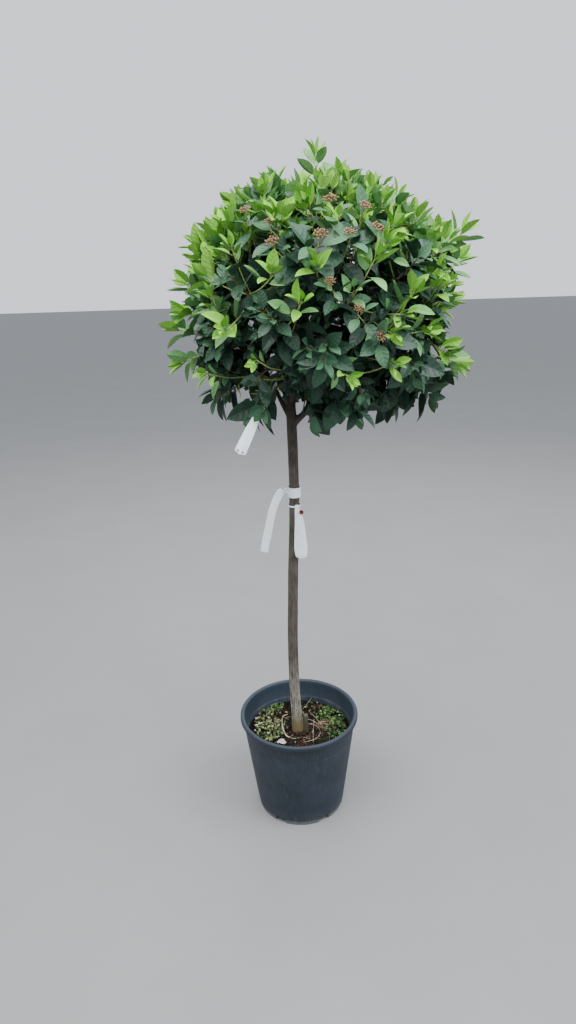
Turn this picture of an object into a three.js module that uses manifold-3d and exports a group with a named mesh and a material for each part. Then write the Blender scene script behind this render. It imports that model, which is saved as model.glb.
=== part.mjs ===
// A laurustinus grown as a standard: a bare stem with a rounded head, standing in a nursery pot.
// Millimetres, +Z up. The origin is the middle of the pot's underside and -Y is the front.

import * as THREE from 'three';
import { mergeVertices } from 'three/addons/utils/BufferGeometryUtils.js';
import Module from 'manifold-3d';

const wasm = await Module();
wasm.setup();

// Pot
const potHeight = 304;
const potLipRadius = 175;
const potLipHeight = 13;
const potFootRadius = 128;
const potNeckRadius = 167.5;
const potWall = 3;
const potFloorBottom = 12;
const potFloorTop = 15;
const padRadius = 42;
const footCount = 6;
const footRingWidth = 16;
const notchAngle = 15;
const notchHeight = 11;
const ledgeHeight = 282;
const ledgeWidth = 3.5;
const potSides = 36;

// Compost
const soilHeight = 245;
const soilEdgeHeight = 238;
const soilRings = 4;
const levelRadius = 30;
const soilWave = 16;

// Stem, up to where the first boughs leave it
const forkHeight = 1216;
const stemBendPoints = [[3, -4], [-12, -2], [-6, 2], [4, 3], [2, 0]];
const stemRadiusLow = 16;
const stemRadiusTop = 13.5;
const flareRadius = 7;
const flareReach = 60;

// Head
const crownCentre = new THREE.Vector3(70, 0, 1455);
const crownSideReach = 352;
const crownUpReach = 332;
const crownDownReach = 272;
const upperRoundness = 2.1;
const lowerRoundness = 2.8;
const coreShare = 0.62;
const coreRadius = 115;
const coreDetail = 1;
const boughEnd = 60;
const upperSweep = { out: 0.3, rise: 0.55 };
const lowerSweep = { out: 0.42, rise: 0.6 };
const twigCount = 58;
const seamMargin = 30;
const gap = 0.3;

// Leaves and twigs
const leafLength = 102;
const leafWidth = 62;
const leafThickness = 2.6;
const leafFold = 5;
const leafDroop = 9;
const leafRootDepth = 0.5;
const leafSpacing = 20;
const leafClearance = 3;
const tipToLeafTip = 70;
const leafyLength = 62;
const leafPairs = [
  { back: 2, spread: 20 },
  { back: 22, spread: 44 },
  { back: 46, spread: 60 },
];
const twigFootRadius = 5.5;
const twigTipRadius = 4.2;
const budRadius = 15;
const budFlatness = 0.6;

// Where each mass of leaves sits round the head's centre: bearing from +X, distance out, height.
// The bough's root height on the stem or leader, its foot and tip radius come after.
const masses = [
  { name: 'top', bearing: 180, out: 12, height: 185, root: forkHeight, foot: 12.5, tip: 6.5 },
  { name: 'upper_left', bearing: 205, out: 150, height: 80, root: 1322, foot: 8, tip: 5 },
  { name: 'upper_front', bearing: 295, out: 150, height: 82, root: 1345, foot: 8, tip: 5 },
  { name: 'upper_right', bearing: 25, out: 155, height: 80, root: 1330, foot: 8, tip: 5 },
  { name: 'upper_back', bearing: 115, out: 150, height: 82, root: 1352, foot: 8, tip: 5 },
  { name: 'lower_left', bearing: 165, out: 160, height: -90, root: 1186, foot: 6.5, tip: 4.5 },
  { name: 'lower_front', bearing: 255, out: 158, height: -90, root: 1240, foot: 7, tip: 4.5 },
  { name: 'lower_right', bearing: 345, out: 165, height: -90, root: 1176, foot: 8.5, tip: 5 },
  { name: 'lower_back', bearing: 75, out: 158, height: -90, root: 1252, foot: 7, tip: 4.5 },
];

// Long shoots that stand out of the head: bearing from +X, elevation, reach from the centre.
const longShoots = [
  [0, 89, 376], [20, 78, 352], [175, 72, 345], [8, 62, 338], [195, 38, 345], [172, 54, 340],
  [352, 26, 425], [6, 17, 415], [5, 36, 342], [350, 9, 362], [176, 13, 368], [186, -4, 384],
  [348, -20, 405], [4, -26, 405], [352, -37, 392], [10, -48, 355], [183, -18, 392], [176, -38, 374],
  [262, -48, 348], [300, -45, 350], [85, -20, 385], [100, 22, 380],
];

// Blank paper labels: one looped round the stem, one tied under it, one on a low twig
const labelThickness = 1.2;
const bandHeight = 995;
const bandWidth = 27;
const bandRadius = 17.5;
const bandTailPath = [
  [-7, -9, 1001], [-27, -11, 991], [-44, -12, 962], [-57, -14, 930], [-68, -12, 885], [-80, -8, 828],
];
const bandTailWidths = [20, 20, 21, 21, 21, 21];
const tagTieHeight = 957;
const tagTieWidth = 5;
const tagPath = [
  [12, -11.5, 960], [15, -15, 946], [18, -18, 920], [20, -19, 870], [21, -19, 825], [22, -19, 809],
];
const tagWidths = [9, 11, 18, 29, 34, 22];
const leafTagPath = [
  [-5, -108, 1330], [-40, -125, 1288], [-72, -160, 1240], [-86, -188, 1214], [-104, -200, 1184],
  [-122, -205, 1156],
];
const leafTagWidths = [9, 9, 9, 22, 26, 26];

const up = new THREE.Vector3(0, 0, 1);

// A number from 0 to 1 that is always the same for the same twig and use.
function chance(item, use) {
  const wave = Math.sin(item * 12.9898 + use * 78.233) * 43758.5453;
  return wave - Math.floor(wave);
}

function heading(bearing, elevation) {
  const turn = THREE.MathUtils.degToRad(bearing);
  const rise = THREE.MathUtils.degToRad(elevation);
  return new THREE.Vector3(
    Math.cos(turn) * Math.cos(rise),
    Math.sin(turn) * Math.cos(rise),
    Math.sin(rise),
  );
}

function pathPoints(path) {
  return path.map(([x, y, z]) => new THREE.Vector3(x, y, z));
}

function solidFrom(geometry) {
  geometry.deleteAttribute('normal');
  geometry.deleteAttribute('uv');
  const merged = mergeVertices(geometry, 1e-4);
  const mesh = new wasm.Mesh({
    numProp: 3,
    vertProperties: new Float32Array(merged.attributes.position.array),
    triVerts: new Uint32Array(merged.index.array),
  });
  return new wasm.Manifold(mesh);
}

// The largest closed body of a solid, without loose scraps or sealed hollows.
function largestBody(solid) {
  let best = solid;
  let bestVolume = 0;
  for (const body of solid.decompose()) {
    if (body.volume() > bestVolume) {
      best = body;
      bestVolume = body.volume();
    }
  }
  return best;
}

function geometryFrom(solid) {
  const mesh = solid.getMesh();
  const geometry = new THREE.BufferGeometry();
  geometry.setAttribute('position', new THREE.BufferAttribute(mesh.vertProperties, 3));
  geometry.setIndex(new THREE.BufferAttribute(mesh.triVerts, 1));
  geometry.computeVertexNormals();
  return geometry;
}

function lathe(profile, sides) {
  const geometry = new THREE.LatheGeometry(profile.map(([r, z]) => new THREE.Vector2(r, z)), sides);
  geometry.rotateX(Math.PI / 2);
  return geometry;
}

// A rod through a row of points, with its own radius at each share of the way.
function rodThrough(points, radiusAt, sides) {
  const last = points.length - 1;
  const geometry = new THREE.CylinderGeometry(1, 1, 1, sides, last);
  const position = geometry.attributes.position;
  const whole = points[last].clone().sub(points[0]).normalize();
  const reference = Math.abs(whole.z) > 0.7 ? new THREE.Vector3(1, 0, 0) : up;
  for (let i = 0; i < position.count; i += 1) {
    const share = position.getY(i) + 0.5;
    const ring = Math.round(share * last);
    const before = points[Math.max(ring - 1, 0)];
    const after = points[Math.min(ring + 1, last)];
    const along = after.clone().sub(before).normalize();
    const side = reference.clone().addScaledVector(along, -reference.dot(along)).normalize();
    const front = side.clone().cross(along);
    const point = points[ring].clone();
    point.addScaledVector(side, position.getX(i) * radiusAt(share));
    point.addScaledVector(front, position.getZ(i) * radiusAt(share));
    position.setXYZ(i, point.x, point.y, point.z);
  }
  return geometry;
}

// A flat strip along a path, lying across the given direction, with a width for each point.
function strip(points, widths, across, thickness) {
  const geometry = new THREE.BoxGeometry(1, 1, 1, 1, points.length - 1, 1);
  const position = geometry.attributes.position;
  const curve = new THREE.CatmullRomCurve3(points);
  for (let i = 0; i < position.count; i += 1) {
    const share = position.getY(i) + 0.5;
    const step = Math.round(share * (points.length - 1));
    const along = curve.getTangent(share);
    const side = across.clone().addScaledVector(along, -across.dot(along)).normalize();
    const face = side.clone().cross(along);
    const point = points[step].clone();
    point.addScaledVector(side, position.getX(i) * widths[step]);
    point.addScaledVector(face, position.getZ(i) * thickness);
    position.setXYZ(i, point.x, point.y, point.z);
  }
  return geometry;
}

// Pot: a tapered wall with a rolled lip, a ledge inside, a raised floor, a flat middle pad and
// feet round the edge.
function innerRadius(z) {
  const share = (z - potFloorTop) / (ledgeHeight - potFloorTop);
  return THREE.MathUtils.lerp(potFootRadius - potWall + 1.5, potNeckRadius - potWall - ledgeWidth, share);
}

function makePot() {
  const lipBottom = potHeight - potLipHeight;
  const ringInside = potFootRadius - footRingWidth;
  const profile = [
    [0, 0],
    [padRadius, 0],
    [padRadius + 3, potFloorBottom],
    [ringInside - 2, potFloorBottom],
    [ringInside, 0],
    [potFootRadius - 1.5, 0],
    [potFootRadius, 2],
    [potFootRadius + 2.2, notchHeight + 3],
    [potNeckRadius, lipBottom - 2],
    [potLipRadius - 2, lipBottom],
    [potLipRadius, lipBottom + 3],
    [potLipRadius, potHeight - 4],
    [potLipRadius - 2, potHeight - 0.8],
    [potLipRadius - 5, potHeight],
    [potNeckRadius - potWall + 1, potHeight - 2.5],
    [potNeckRadius - potWall, ledgeHeight + 3],
    [potNeckRadius - potWall - ledgeWidth, ledgeHeight],
    [innerRadius(potFloorTop), potFloorTop],
    [0, potFloorTop],
  ];
  let pot = solidFrom(lathe(profile, potSides));
  const halfNotch = THREE.MathUtils.degToRad(notchAngle / 2);
  const inside = ringInside - 5;
  const outside = potFootRadius + 8;
  for (let i = 0; i < footCount; i += 1) {
    const corners = [[inside, -halfNotch], [outside, -halfNotch], [outside, halfNotch], [inside, halfNotch]];
    const outline = new THREE.Shape(corners.map(([radius, turn]) => {
      return new THREE.Vector2(radius * Math.cos(turn), radius * Math.sin(turn));
    }));
    const notch = new THREE.ExtrudeGeometry(outline, { depth: 2 * notchHeight, bevelEnabled: false });
    notch.translate(0, 0, -notchHeight);
    notch.rotateZ((i * 2 * Math.PI) / footCount);
    pot = pot.subtract(solidFrom(notch));
  }
  return pot;
}

// Compost that fills the pot, a little uneven, flat where the stem stands on it.
function soilLevel(x, y) {
  const out = Math.hypot(x, y);
  const rise = THREE.MathUtils.smoothstep(out, levelRadius, innerRadius(soilEdgeHeight));
  const wave = soilWave * Math.sin(x * 0.06 + 1) * Math.cos(y * 0.05 - 0.6);
  return THREE.MathUtils.lerp(soilHeight, soilEdgeHeight, rise) + wave * rise * (1 - rise);
}

function makeSoil() {
  const edge = innerRadius(soilEdgeHeight) - gap;
  const profile = [
    [0, potFloorTop + gap],
    [innerRadius(potFloorTop + gap) - gap, potFloorTop + gap],
    [edge, soilEdgeHeight],
  ];
  for (let ring = soilRings - 1; ring > 0; ring -= 1) {
    profile.push([THREE.MathUtils.lerp(levelRadius, edge, ring / soilRings), soilHeight]);
  }
  profile.push([levelRadius, soilHeight], [0, soilHeight]);
  const geometry = lathe(profile, potSides);
  const position = geometry.attributes.position;
  for (let i = 0; i < position.count; i += 1) {
    if (position.getZ(i) > soilEdgeHeight + 1) {
      position.setZ(i, soilLevel(position.getX(i), position.getY(i)));
    }
  }
  return solidFrom(geometry);
}

// Stem: leans and weaves a little, tapers, and flares at its foot.
const stemFoot = soilHeight + gap;
const stemCurve = new THREE.CatmullRomCurve3(stemBendPoints.map(([x, y], i) => {
  const share = i / (stemBendPoints.length - 1);
  return new THREE.Vector3(x, y, THREE.MathUtils.lerp(stemFoot, forkHeight, share));
}));

function stemRadius(share) {
  const height = share * (forkHeight - stemFoot);
  const flare = flareRadius * Math.exp((-height / flareReach) * 2);
  return THREE.MathUtils.lerp(stemRadiusLow, stemRadiusTop, share) + flare;
}

function makeStem(extra) {
  const geometry = rodThrough(stemCurve.getSpacedPoints(16), (share) => stemRadius(share) + extra, 10);
  const position = geometry.attributes.position;
  for (let i = 0; i < position.count; i += 1) {
    const z = position.getZ(i);
    if (z < stemFoot + 3) {
      position.setZ(i, stemFoot - extra);
    }
    if (z > forkHeight - 3) {
      position.setZ(i, forkHeight + extra);
    }
  }
  return solidFrom(geometry);
}

// The middle of each mass, and the bough that carries it.
for (const mass of masses) {
  mass.site = heading(mass.bearing, 0).multiplyScalar(mass.out);
  mass.site.z = mass.height;
  mass.site.add(crownCentre);
}

// The leader goes on from the stem into the top mass.
const [stemTopX, stemTopY] = stemBendPoints[stemBendPoints.length - 1];
const leaderCurve = new THREE.CatmullRomCurve3([
  new THREE.Vector3(stemTopX, stemTopY, forkHeight + gap),
  new THREE.Vector3(8, 4, 1330),
  new THREE.Vector3(30, -6, 1450),
  masses[0].site.clone().add(new THREE.Vector3(-12, 0, -boughEnd)),
]);

// The middle of the stem or the leader at a height.
function trunkPointAt(z) {
  const onStem = z <= forkHeight;
  const curve = onStem ? stemCurve : leaderCurve;
  let low = 0;
  let high = 1;
  for (let i = 0; i < 24; i += 1) {
    const middle = (low + high) / 2;
    if (curve.getPointAt(middle).z < z) {
      low = middle;
    } else {
      high = middle;
    }
  }
  return curve.getPointAt(low);
}

function boughCurve(mass) {
  if (mass === masses[0]) {
    return leaderCurve;
  }
  const foot = trunkPointAt(mass.root);
  const away = mass.site.clone().sub(foot);
  const entry = mass.site.clone().addScaledVector(away.clone().normalize(), -boughEnd);
  const sweep = mass.height > 0 ? upperSweep : lowerSweep;
  const bend = foot.clone().lerp(mass.site, sweep.out);
  bend.z = THREE.MathUtils.lerp(foot.z, entry.z, sweep.rise);
  return new THREE.QuadraticBezierCurve3(foot, bend, entry);
}

function makeBough(mass, extra) {
  const radiusAt = (share) => THREE.MathUtils.lerp(mass.foot, mass.tip, share) + extra;
  const isLeader = mass === masses[0];
  const points = mass.curve.getSpacedPoints(isLeader ? 6 : 4);
  return solidFrom(rodThrough(points, radiusAt, isLeader ? 8 : 6));
}

for (const mass of masses) {
  mass.curve = boughCurve(mass);
}

// How far leaf tips reach from the head's centre in a direction.
function crownReach(direction) {
  const roundness = direction.z > 0 ? upperRoundness : lowerRoundness;
  const tall = direction.z > 0 ? crownUpReach : crownDownReach;
  const flat = Math.hypot(direction.x, direction.y);
  const sum = (flat / crownSideReach) ** roundness + (Math.abs(direction.z) / tall) ** roundness;
  return sum ** (-1 / roundness);
}

// Each mass keeps to the points that are nearest to its own middle.
function spaceMargin(mass, point) {
  let margin = Infinity;
  for (const other of masses) {
    if (other !== mass) {
      const between = mass.site.clone().sub(other.site);
      const middle = mass.site.clone().add(other.site).multiplyScalar(0.5);
      margin = Math.min(margin, point.clone().sub(middle).dot(between) / between.length());
    }
  }
  return margin;
}

function nearestMass(point) {
  let best = masses[0];
  for (const mass of masses) {
    if (point.distanceTo(mass.site) < point.distanceTo(best.site)) {
      best = mass;
    }
  }
  return best;
}

// Round places along the stem, the boughs and the label's strap that leaves stay out of.
const keptClear = [];
for (const point of stemCurve.getSpacedPoints(40)) {
  keptClear.push({ point, radius: stemRadiusLow + leafClearance });
}
for (const mass of masses) {
  for (const point of mass.curve.getSpacedPoints(16)) {
    keptClear.push({ point, radius: mass.foot + leafClearance });
  }
}
for (const point of new THREE.CatmullRomCurve3(pathPoints(leafTagPath)).getSpacedPoints(12)) {
  keptClear.push({ point, radius: leafTagWidths[0] });
}

// Core of a mass: a lump that fills its space up to a share of the head's reach.
function makeCore(mass) {
  const geometry = new THREE.IcosahedronGeometry(1, coreDetail);
  const position = geometry.attributes.position;
  for (let i = 0; i < position.count; i += 1) {
    const direction = new THREE.Vector3().fromBufferAttribute(position, i).normalize();
    let low = 0;
    let high = coreRadius;
    for (let step = 0; step < 20; step += 1) {
      const middle = (low + high) / 2;
      const point = mass.site.clone().addScaledVector(direction, middle);
      const fromCentre = point.clone().sub(crownCentre);
      const limit = crownReach(fromCentre.clone().normalize()) * coreShare;
      if (fromCentre.length() < limit && spaceMargin(mass, point) > 1.5) {
        low = middle;
      } else {
        high = middle;
      }
    }
    const point = mass.site.clone().addScaledVector(direction, low);
    position.setXYZ(i, point.x, point.y, point.z);
  }
  return solidFrom(geometry);
}

// One leaf: pointed at both ends, folded a little along its middle and drooping to its tip.
function leafGeometry(root, direction, facing, size) {
  const normal = facing.clone().addScaledVector(direction, -facing.dot(direction)).normalize();
  const side = direction.clone().cross(normal);
  const geometry = new THREE.OctahedronGeometry(1, 0);
  const position = geometry.attributes.position;
  for (let i = 0; i < position.count; i += 1) {
    const across = position.getX(i);
    const along = position.getY(i);
    const lift = (leafThickness / 2) * position.getZ(i) + leafFold * Math.abs(across);
    const point = root.clone();
    point.addScaledVector(direction, (leafLength * size * (along + 1)) / 2);
    point.addScaledVector(side, (leafWidth * size * across) / 2);
    point.addScaledVector(normal, lift - leafDroop * size * Math.max(along, 0));
    position.setXYZ(i, point.x, point.y, point.z);
  }
  return geometry;
}

// A leaf fits where it keeps to its mass's space, off the limbs and off the leaves before it.
function leafFits(mass, geometry, marks) {
  const position = geometry.attributes.position;
  for (let i = 0; i < position.count; i += 1) {
    const point = new THREE.Vector3().fromBufferAttribute(position, i);
    const blocked = keptClear.some((place) => point.distanceTo(place.point) < place.radius);
    if (blocked || spaceMargin(mass, point) < 1) {
      return false;
    }
  }
  return marks.every((mark) => mass.marks.every((other) => mark.distanceTo(other) > leafSpacing));
}

// Twigs leave the middle of their mass for tips spread evenly over the head.
function twigPlans() {
  const plans = [];
  const goldenTurn = 180 * (3 - Math.sqrt(5));
  for (let i = 0; i < twigCount; i += 1) {
    const level = 1 - (2 * i + 1) / twigCount;
    const elevation = THREE.MathUtils.radToDeg(Math.asin(level));
    const outward = heading(i * goldenTurn, elevation);
    plans.push({ outward, reach: crownReach(outward) * (0.93 + 0.09 * chance(i, 1)) });
  }
  for (const [bearing, elevation, reach] of longShoots) {
    plans.push({ outward: heading(bearing, elevation), reach });
  }
  return plans;
}

// A twig bends towards the light at its end and carries crossed pairs of leaves there. Its tip is
// nudged away from the neighbouring masses.
function growTwig(plan, number) {
  const outward = plan.outward.clone();
  const tip = crownCentre.clone().addScaledVector(outward, plan.reach - tipToLeafTip);
  const mass = nearestMass(tip);
  const home = mass.site.clone().sub(crownCentre).normalize();
  for (let nudge = 0; nudge < 5 && spaceMargin(mass, tip) < seamMargin; nudge += 1) {
    outward.addScaledVector(home, 0.06).normalize();
    tip.copy(crownCentre).addScaledVector(outward, plan.reach - tipToLeafTip);
  }
  const low = outward.z < -0.15;
  const growth = outward.clone().addScaledVector(up, low ? 0.05 : 0.4).normalize();
  const start = mass.site.clone().lerp(tip, 0.1);
  const bend = tip.clone().addScaledVector(growth, -leafyLength);
  const pieces = [];
  if (spaceMargin(mass, bend) < twigFootRadius + 1) {
    return { mass, pieces };
  }
  const twigRadius = (share) => THREE.MathUtils.lerp(twigFootRadius, twigTipRadius, share);
  pieces.push(rodThrough([start, bend, tip], twigRadius, 3));
  const size = 0.88 + 0.2 * chance(number, 2);
  const firstSide = growth.clone().cross(up).normalize();
  firstSide.applyAxisAngle(growth, chance(number, 3) * Math.PI);
  leafPairs.forEach(({ back, spread }, pair) => {
    const lean = THREE.MathUtils.degToRad(spread + 10 * chance(number, 10 + pair));
    const node = tip.clone().addScaledVector(growth, -back);
    const newMarks = [];
    for (let hand = 0; hand < 2; hand += 1) {
      const use = 20 + pair * 2 + hand;
      const side = firstSide.clone().applyAxisAngle(growth, (pair * Math.PI) / 2 + hand * Math.PI);
      const direction = growth.clone().multiplyScalar(Math.cos(lean));
      direction.addScaledVector(side, Math.sin(lean));
      direction.addScaledVector(up, low ? -0.35 : -0.12).normalize();
      const facing = growth.clone().addScaledVector(up, 0.6);
      facing.add(heading(360 * chance(number, use), 60 * chance(number, use + 10) - 30));
      const root = node.clone().addScaledVector(direction, leafRootDepth);
      for (const shrink of [1, 0.85, 0.7]) {
        const length = leafLength * size * shrink;
        const marks = [0.4, 0.7, 1].map((share) => root.clone().addScaledVector(direction, length * share));
        const leaf = leafGeometry(root, direction, facing, size * shrink);
        if (leafFits(mass, leaf, marks)) {
          pieces.push(leaf);
          newMarks.push(...marks);
          break;
        }
      }
    }
    mass.marks.push(...newMarks);
  });
  if (!low && chance(number, 9) > 0.8) {
    const bud = new THREE.IcosahedronGeometry(budRadius, 0);
    bud.scale(1, 1, budFlatness);
    bud.translate(tip.x, tip.y, tip.z + budRadius * 0.4);
    if (leafFits(mass, bud, [])) {
      pieces.push(bud);
    }
  }
  return { mass, pieces };
}

// A paper ring round the stem.
function makeTie(height, width, radius) {
  const centre = trunkPointAt(height);
  const ring = new THREE.CylinderGeometry(radius, radius, width, 16);
  ring.rotateX(Math.PI / 2);
  ring.translate(centre.x, centre.y, height);
  return solidFrom(ring);
}

function makeLabel(path, widths, across, extra) {
  const grownWidths = widths.map((width) => width + 2 * extra);
  return solidFrom(strip(pathPoints(path), grownWidths, across, labelThickness + 2 * extra));
}

const facingFront = new THREE.Vector3(1, -0.1, 0.3);

const leafMaterial = new THREE.MeshStandardMaterial({ color: 0x3f6b2f, roughness: 0.5, metalness: 0 });
const barkMaterial = new THREE.MeshStandardMaterial({ color: 0x5a5046, roughness: 0.9, metalness: 0 });
const potMaterial = new THREE.MeshStandardMaterial({ color: 0x38424c, roughness: 0.6, metalness: 0 });
const soilMaterial = new THREE.MeshStandardMaterial({ color: 0x2c261f, roughness: 1, metalness: 0 });
const labelMaterial = new THREE.MeshStandardMaterial({ color: 0xe8edf0, roughness: 0.7, metalness: 0 });

const plant = new THREE.Group();

function place(name, solid, material) {
  const mesh = new THREE.Mesh(geometryFrom(largestBody(solid)), material.clone());
  mesh.name = name;
  plant.add(mesh);
}

place('pot', makePot(), potMaterial);
place('soil', makeSoil(), soilMaterial);
place('trunk', makeStem(0), barkMaterial);

const grownStem = makeStem(gap);
const grownLeader = makeBough(masses[0], gap);
let grownLimbs = grownStem.add(grownLeader);
place('bough_top', makeBough(masses[0], 0).subtract(grownStem), barkMaterial);
for (const mass of masses.slice(1)) {
  const bough = makeBough(mass, 0).subtract(grownStem).subtract(grownLeader);
  place(`bough_${mass.name}`, bough, barkMaterial);
  grownLimbs = grownLimbs.add(makeBough(mass, gap));
}

for (const mass of masses) {
  mass.solid = makeCore(mass);
  mass.marks = [];
}
twigPlans().forEach((plan, number) => {
  const { mass, pieces } = growTwig(plan, number);
  for (const piece of pieces) {
    mass.solid = mass.solid.add(solidFrom(piece));
  }
});
const grownLeafTag = makeLabel(leafTagPath, leafTagWidths, facingFront, gap);
for (const mass of masses) {
  const leaves = mass.solid.subtract(grownLimbs).subtract(grownLeafTag);
  place(`leaves_${mass.name}`, leaves, leafMaterial);
}

const band = makeTie(bandHeight, bandWidth, bandRadius)
  .add(makeLabel(bandTailPath, bandTailWidths, facingFront, 0))
  .subtract(grownStem);
const tag = makeTie(tagTieHeight, tagTieWidth, bandRadius)
  .add(makeLabel(tagPath, tagWidths, facingFront, 0))
  .subtract(grownStem);
place('label_band', band, labelMaterial);
place('label_tag', tag, labelMaterial);
place('label_leaf_tag', makeLabel(leafTagPath, leafTagWidths, facingFront, 0), labelMaterial);

export default plant;
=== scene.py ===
import math

import bmesh
import bpy
import numpy as np
from mathutils import Matrix, Quaternion, Vector, noise


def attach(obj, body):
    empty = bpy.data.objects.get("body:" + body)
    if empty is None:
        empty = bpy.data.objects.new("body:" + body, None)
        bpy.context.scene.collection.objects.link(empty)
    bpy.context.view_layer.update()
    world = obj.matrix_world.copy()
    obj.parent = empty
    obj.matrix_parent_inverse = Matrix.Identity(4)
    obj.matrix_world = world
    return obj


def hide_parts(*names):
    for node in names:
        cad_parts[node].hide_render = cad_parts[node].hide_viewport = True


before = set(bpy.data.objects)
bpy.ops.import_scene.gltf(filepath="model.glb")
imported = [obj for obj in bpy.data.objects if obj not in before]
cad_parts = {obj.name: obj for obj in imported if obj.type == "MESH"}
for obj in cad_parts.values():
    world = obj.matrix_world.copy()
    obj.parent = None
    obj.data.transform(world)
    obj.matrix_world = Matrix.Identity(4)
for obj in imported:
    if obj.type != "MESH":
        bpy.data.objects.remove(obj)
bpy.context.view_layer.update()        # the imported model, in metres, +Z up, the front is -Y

up = Vector((0, 0, 1))
eye = Vector((-0.014, -1.78, 1.562))  # where the photo was taken from


# Selecting, editing and finishing one piece at a time

def deselectAll():
    if bpy.context.mode != "OBJECT":
        bpy.ops.object.mode_set(mode="OBJECT")
    bpy.ops.object.select_all(action="DESELECT")


def only(piece):
    deselectAll()
    piece.select_set(True)
    bpy.context.view_layer.objects.active = piece


def edit(piece):
    only(piece)
    bpy.ops.object.mode_set(mode="EDIT")
    bpy.ops.mesh.select_mode(type="VERT")
    bpy.ops.mesh.select_all(action="DESELECT")


def editAll(piece):
    edit(piece)
    bpy.ops.mesh.select_all(action="SELECT")


def endEdit():
    bpy.ops.object.mode_set(mode="OBJECT")


def selectWhere(piece, test):
    mesh = bmesh.from_edit_mesh(piece.data)
    for vert in mesh.verts:
        vert.select_set(bool(test(vert.co)))
    mesh.select_flush_mode()
    bmesh.update_edit_mesh(piece.data)


def moveWhere(piece, test, value):
    edit(piece)
    selectWhere(piece, test)
    bpy.ops.transform.translate(value=value)
    endEdit()


def resizeWhere(piece, test, value, middle):
    edit(piece)
    selectWhere(piece, test)
    bpy.ops.transform.resize(value=value, center_override=middle)
    endEdit()


def applyPlace(piece):
    only(piece)
    bpy.ops.object.transform_apply(location=True, rotation=True, scale=True)


def started(name, scale=(1, 1, 1)):  # the primitive just added, scaled and with its place applied
    piece = bpy.context.object
    piece.name = name
    piece.scale = scale
    applyPlace(piece)
    return piece


def modify(piece, kind, **settings):  # puts a modifier on a piece and applies it
    modifier = piece.modifiers.new(kind.lower(), kind)
    for name, value in settings.items():
        setattr(modifier, name, value)
    only(piece)
    bpy.ops.object.modifier_apply(modifier=modifier.name)


def cutAway(piece, cutter):
    modify(piece, "BOOLEAN", object=cutter, operation="DIFFERENCE", solver="EXACT")
    bpy.data.objects.remove(cutter)


def linked(name, data):  # a new object in the scene
    piece = bpy.data.objects.new(name, data)
    bpy.context.scene.collection.objects.link(piece)
    return piece


def join(pieces, name):
    deselectAll()
    for piece in pieces:
        piece.select_set(True)
    bpy.context.view_layer.objects.active = pieces[0]
    bpy.ops.object.join()
    pieces[0].name = name
    pieces[0].data.name = name
    return pieces[0]


def smooth(piece, angle=40):
    only(piece)
    bpy.ops.object.shade_smooth_by_angle(angle=math.radians(angle))


def finishPiece(piece, materials, replaced=()):
    for material in materials:
        piece.data.materials.append(material)
    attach(piece, "root")
    if replaced:
        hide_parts(*replaced)


# Numbers and directions

def chance(item, use):  # from 0 to 1, always the same for the same item and use
    wave = math.sin(item * 12.9898 + use * 78.233) * 43758.5453
    return wave - math.floor(wave)


def between(low, high, share):
    return low + (high - low) * share


def smoothStep(low, high, value):
    share = min(max((value - low) / (high - low), 0), 1)
    return share * share * (3 - 2 * share)


def heading(bearing, elevation):
    turn, rise = math.radians(bearing), math.radians(elevation)
    return Vector((math.cos(turn) * math.cos(rise), math.sin(turn) * math.cos(rise), math.sin(rise)))


def turned(vector, axis, degrees):
    return Quaternion(axis, math.radians(degrees)) @ vector


def squareTo(vector, axis):  # the part of a vector that stands square to an axis, one long
    return (vector - axis * vector.dot(axis)).normalized()


def sideOf(forward, degrees):  # square to a direction, turned round it from its upper side
    return turned(squareTo(up + Vector((0.01, 0, 0)), forward), forward, degrees)


# Paths

def smoothThrough(points, steps):  # a smooth curve, in steps for each stretch
    points = [Vector(point) for point in points]
    points = [2 * points[0] - points[1]] + points + [2 * points[-1] - points[-2]]
    curve = []
    for before, here, there, after in zip(points, points[1:], points[2:], points[3:]):
        a, b, c = [math.sqrt((q - p).length) for p, q in ((before, here), (here, there), (there, after))]
        leave = ((here - before) / a - (there - before) / (a + b) + (there - here) / b) * b
        arrive = ((there - here) / b - (after - here) / (b + c) + (after - there) / c) * b
        for step in range(steps):
            t = step / steps
            curve.append(
                here * (2 * t**3 - 3 * t**2 + 1) + leave * (t**3 - 2 * t**2 + t)
                + there * (3 * t**2 - 2 * t**3) + arrive * (t**3 - t**2)
            )
    curve.append(points[-2])
    return curve


def pointBack(path, back):  # the point that lies a length back from the end of a path
    for here, before in zip(reversed(path), reversed(path[:-1])):
        step = (here - before).length
        if step >= back:
            return here.lerp(before, back / step)
        back -= step
    return path[0].copy()


def pointAtHeight(path, height):
    for here, there in zip(path, path[1:]):
        if there.z >= height:
            return here.lerp(there, (height - here.z) / (there.z - here.z))
    return path[-1].copy()


# Ways of making a mesh

def strandPiece(name, strands, roundness):  # each strand is a path and its (shares, radii)
    data = bpy.data.curves.new(name, "CURVE")
    data.dimensions = "3D"
    data.bevel_depth = 1.0
    data.bevel_resolution = roundness
    data.use_fill_caps = True
    for path, (shares, radii) in strands:
        spline = data.splines.new("POLY")
        spline.points.add(len(path) - 1)
        for i, point in enumerate(path):
            spline.points[i].co = (*point, 1)
            spline.points[i].radius = float(np.interp(i / (len(path) - 1), shares, radii))
    only(linked(name, data))
    bpy.ops.object.convert(target="MESH")
    piece = bpy.context.object
    piece.name = name
    bpy.ops.object.shade_smooth()
    return piece


def tapered(path, *radii):  # a strand with its radii spread evenly along its path
    return path, (np.linspace(0, 1, len(radii)), radii)


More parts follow.
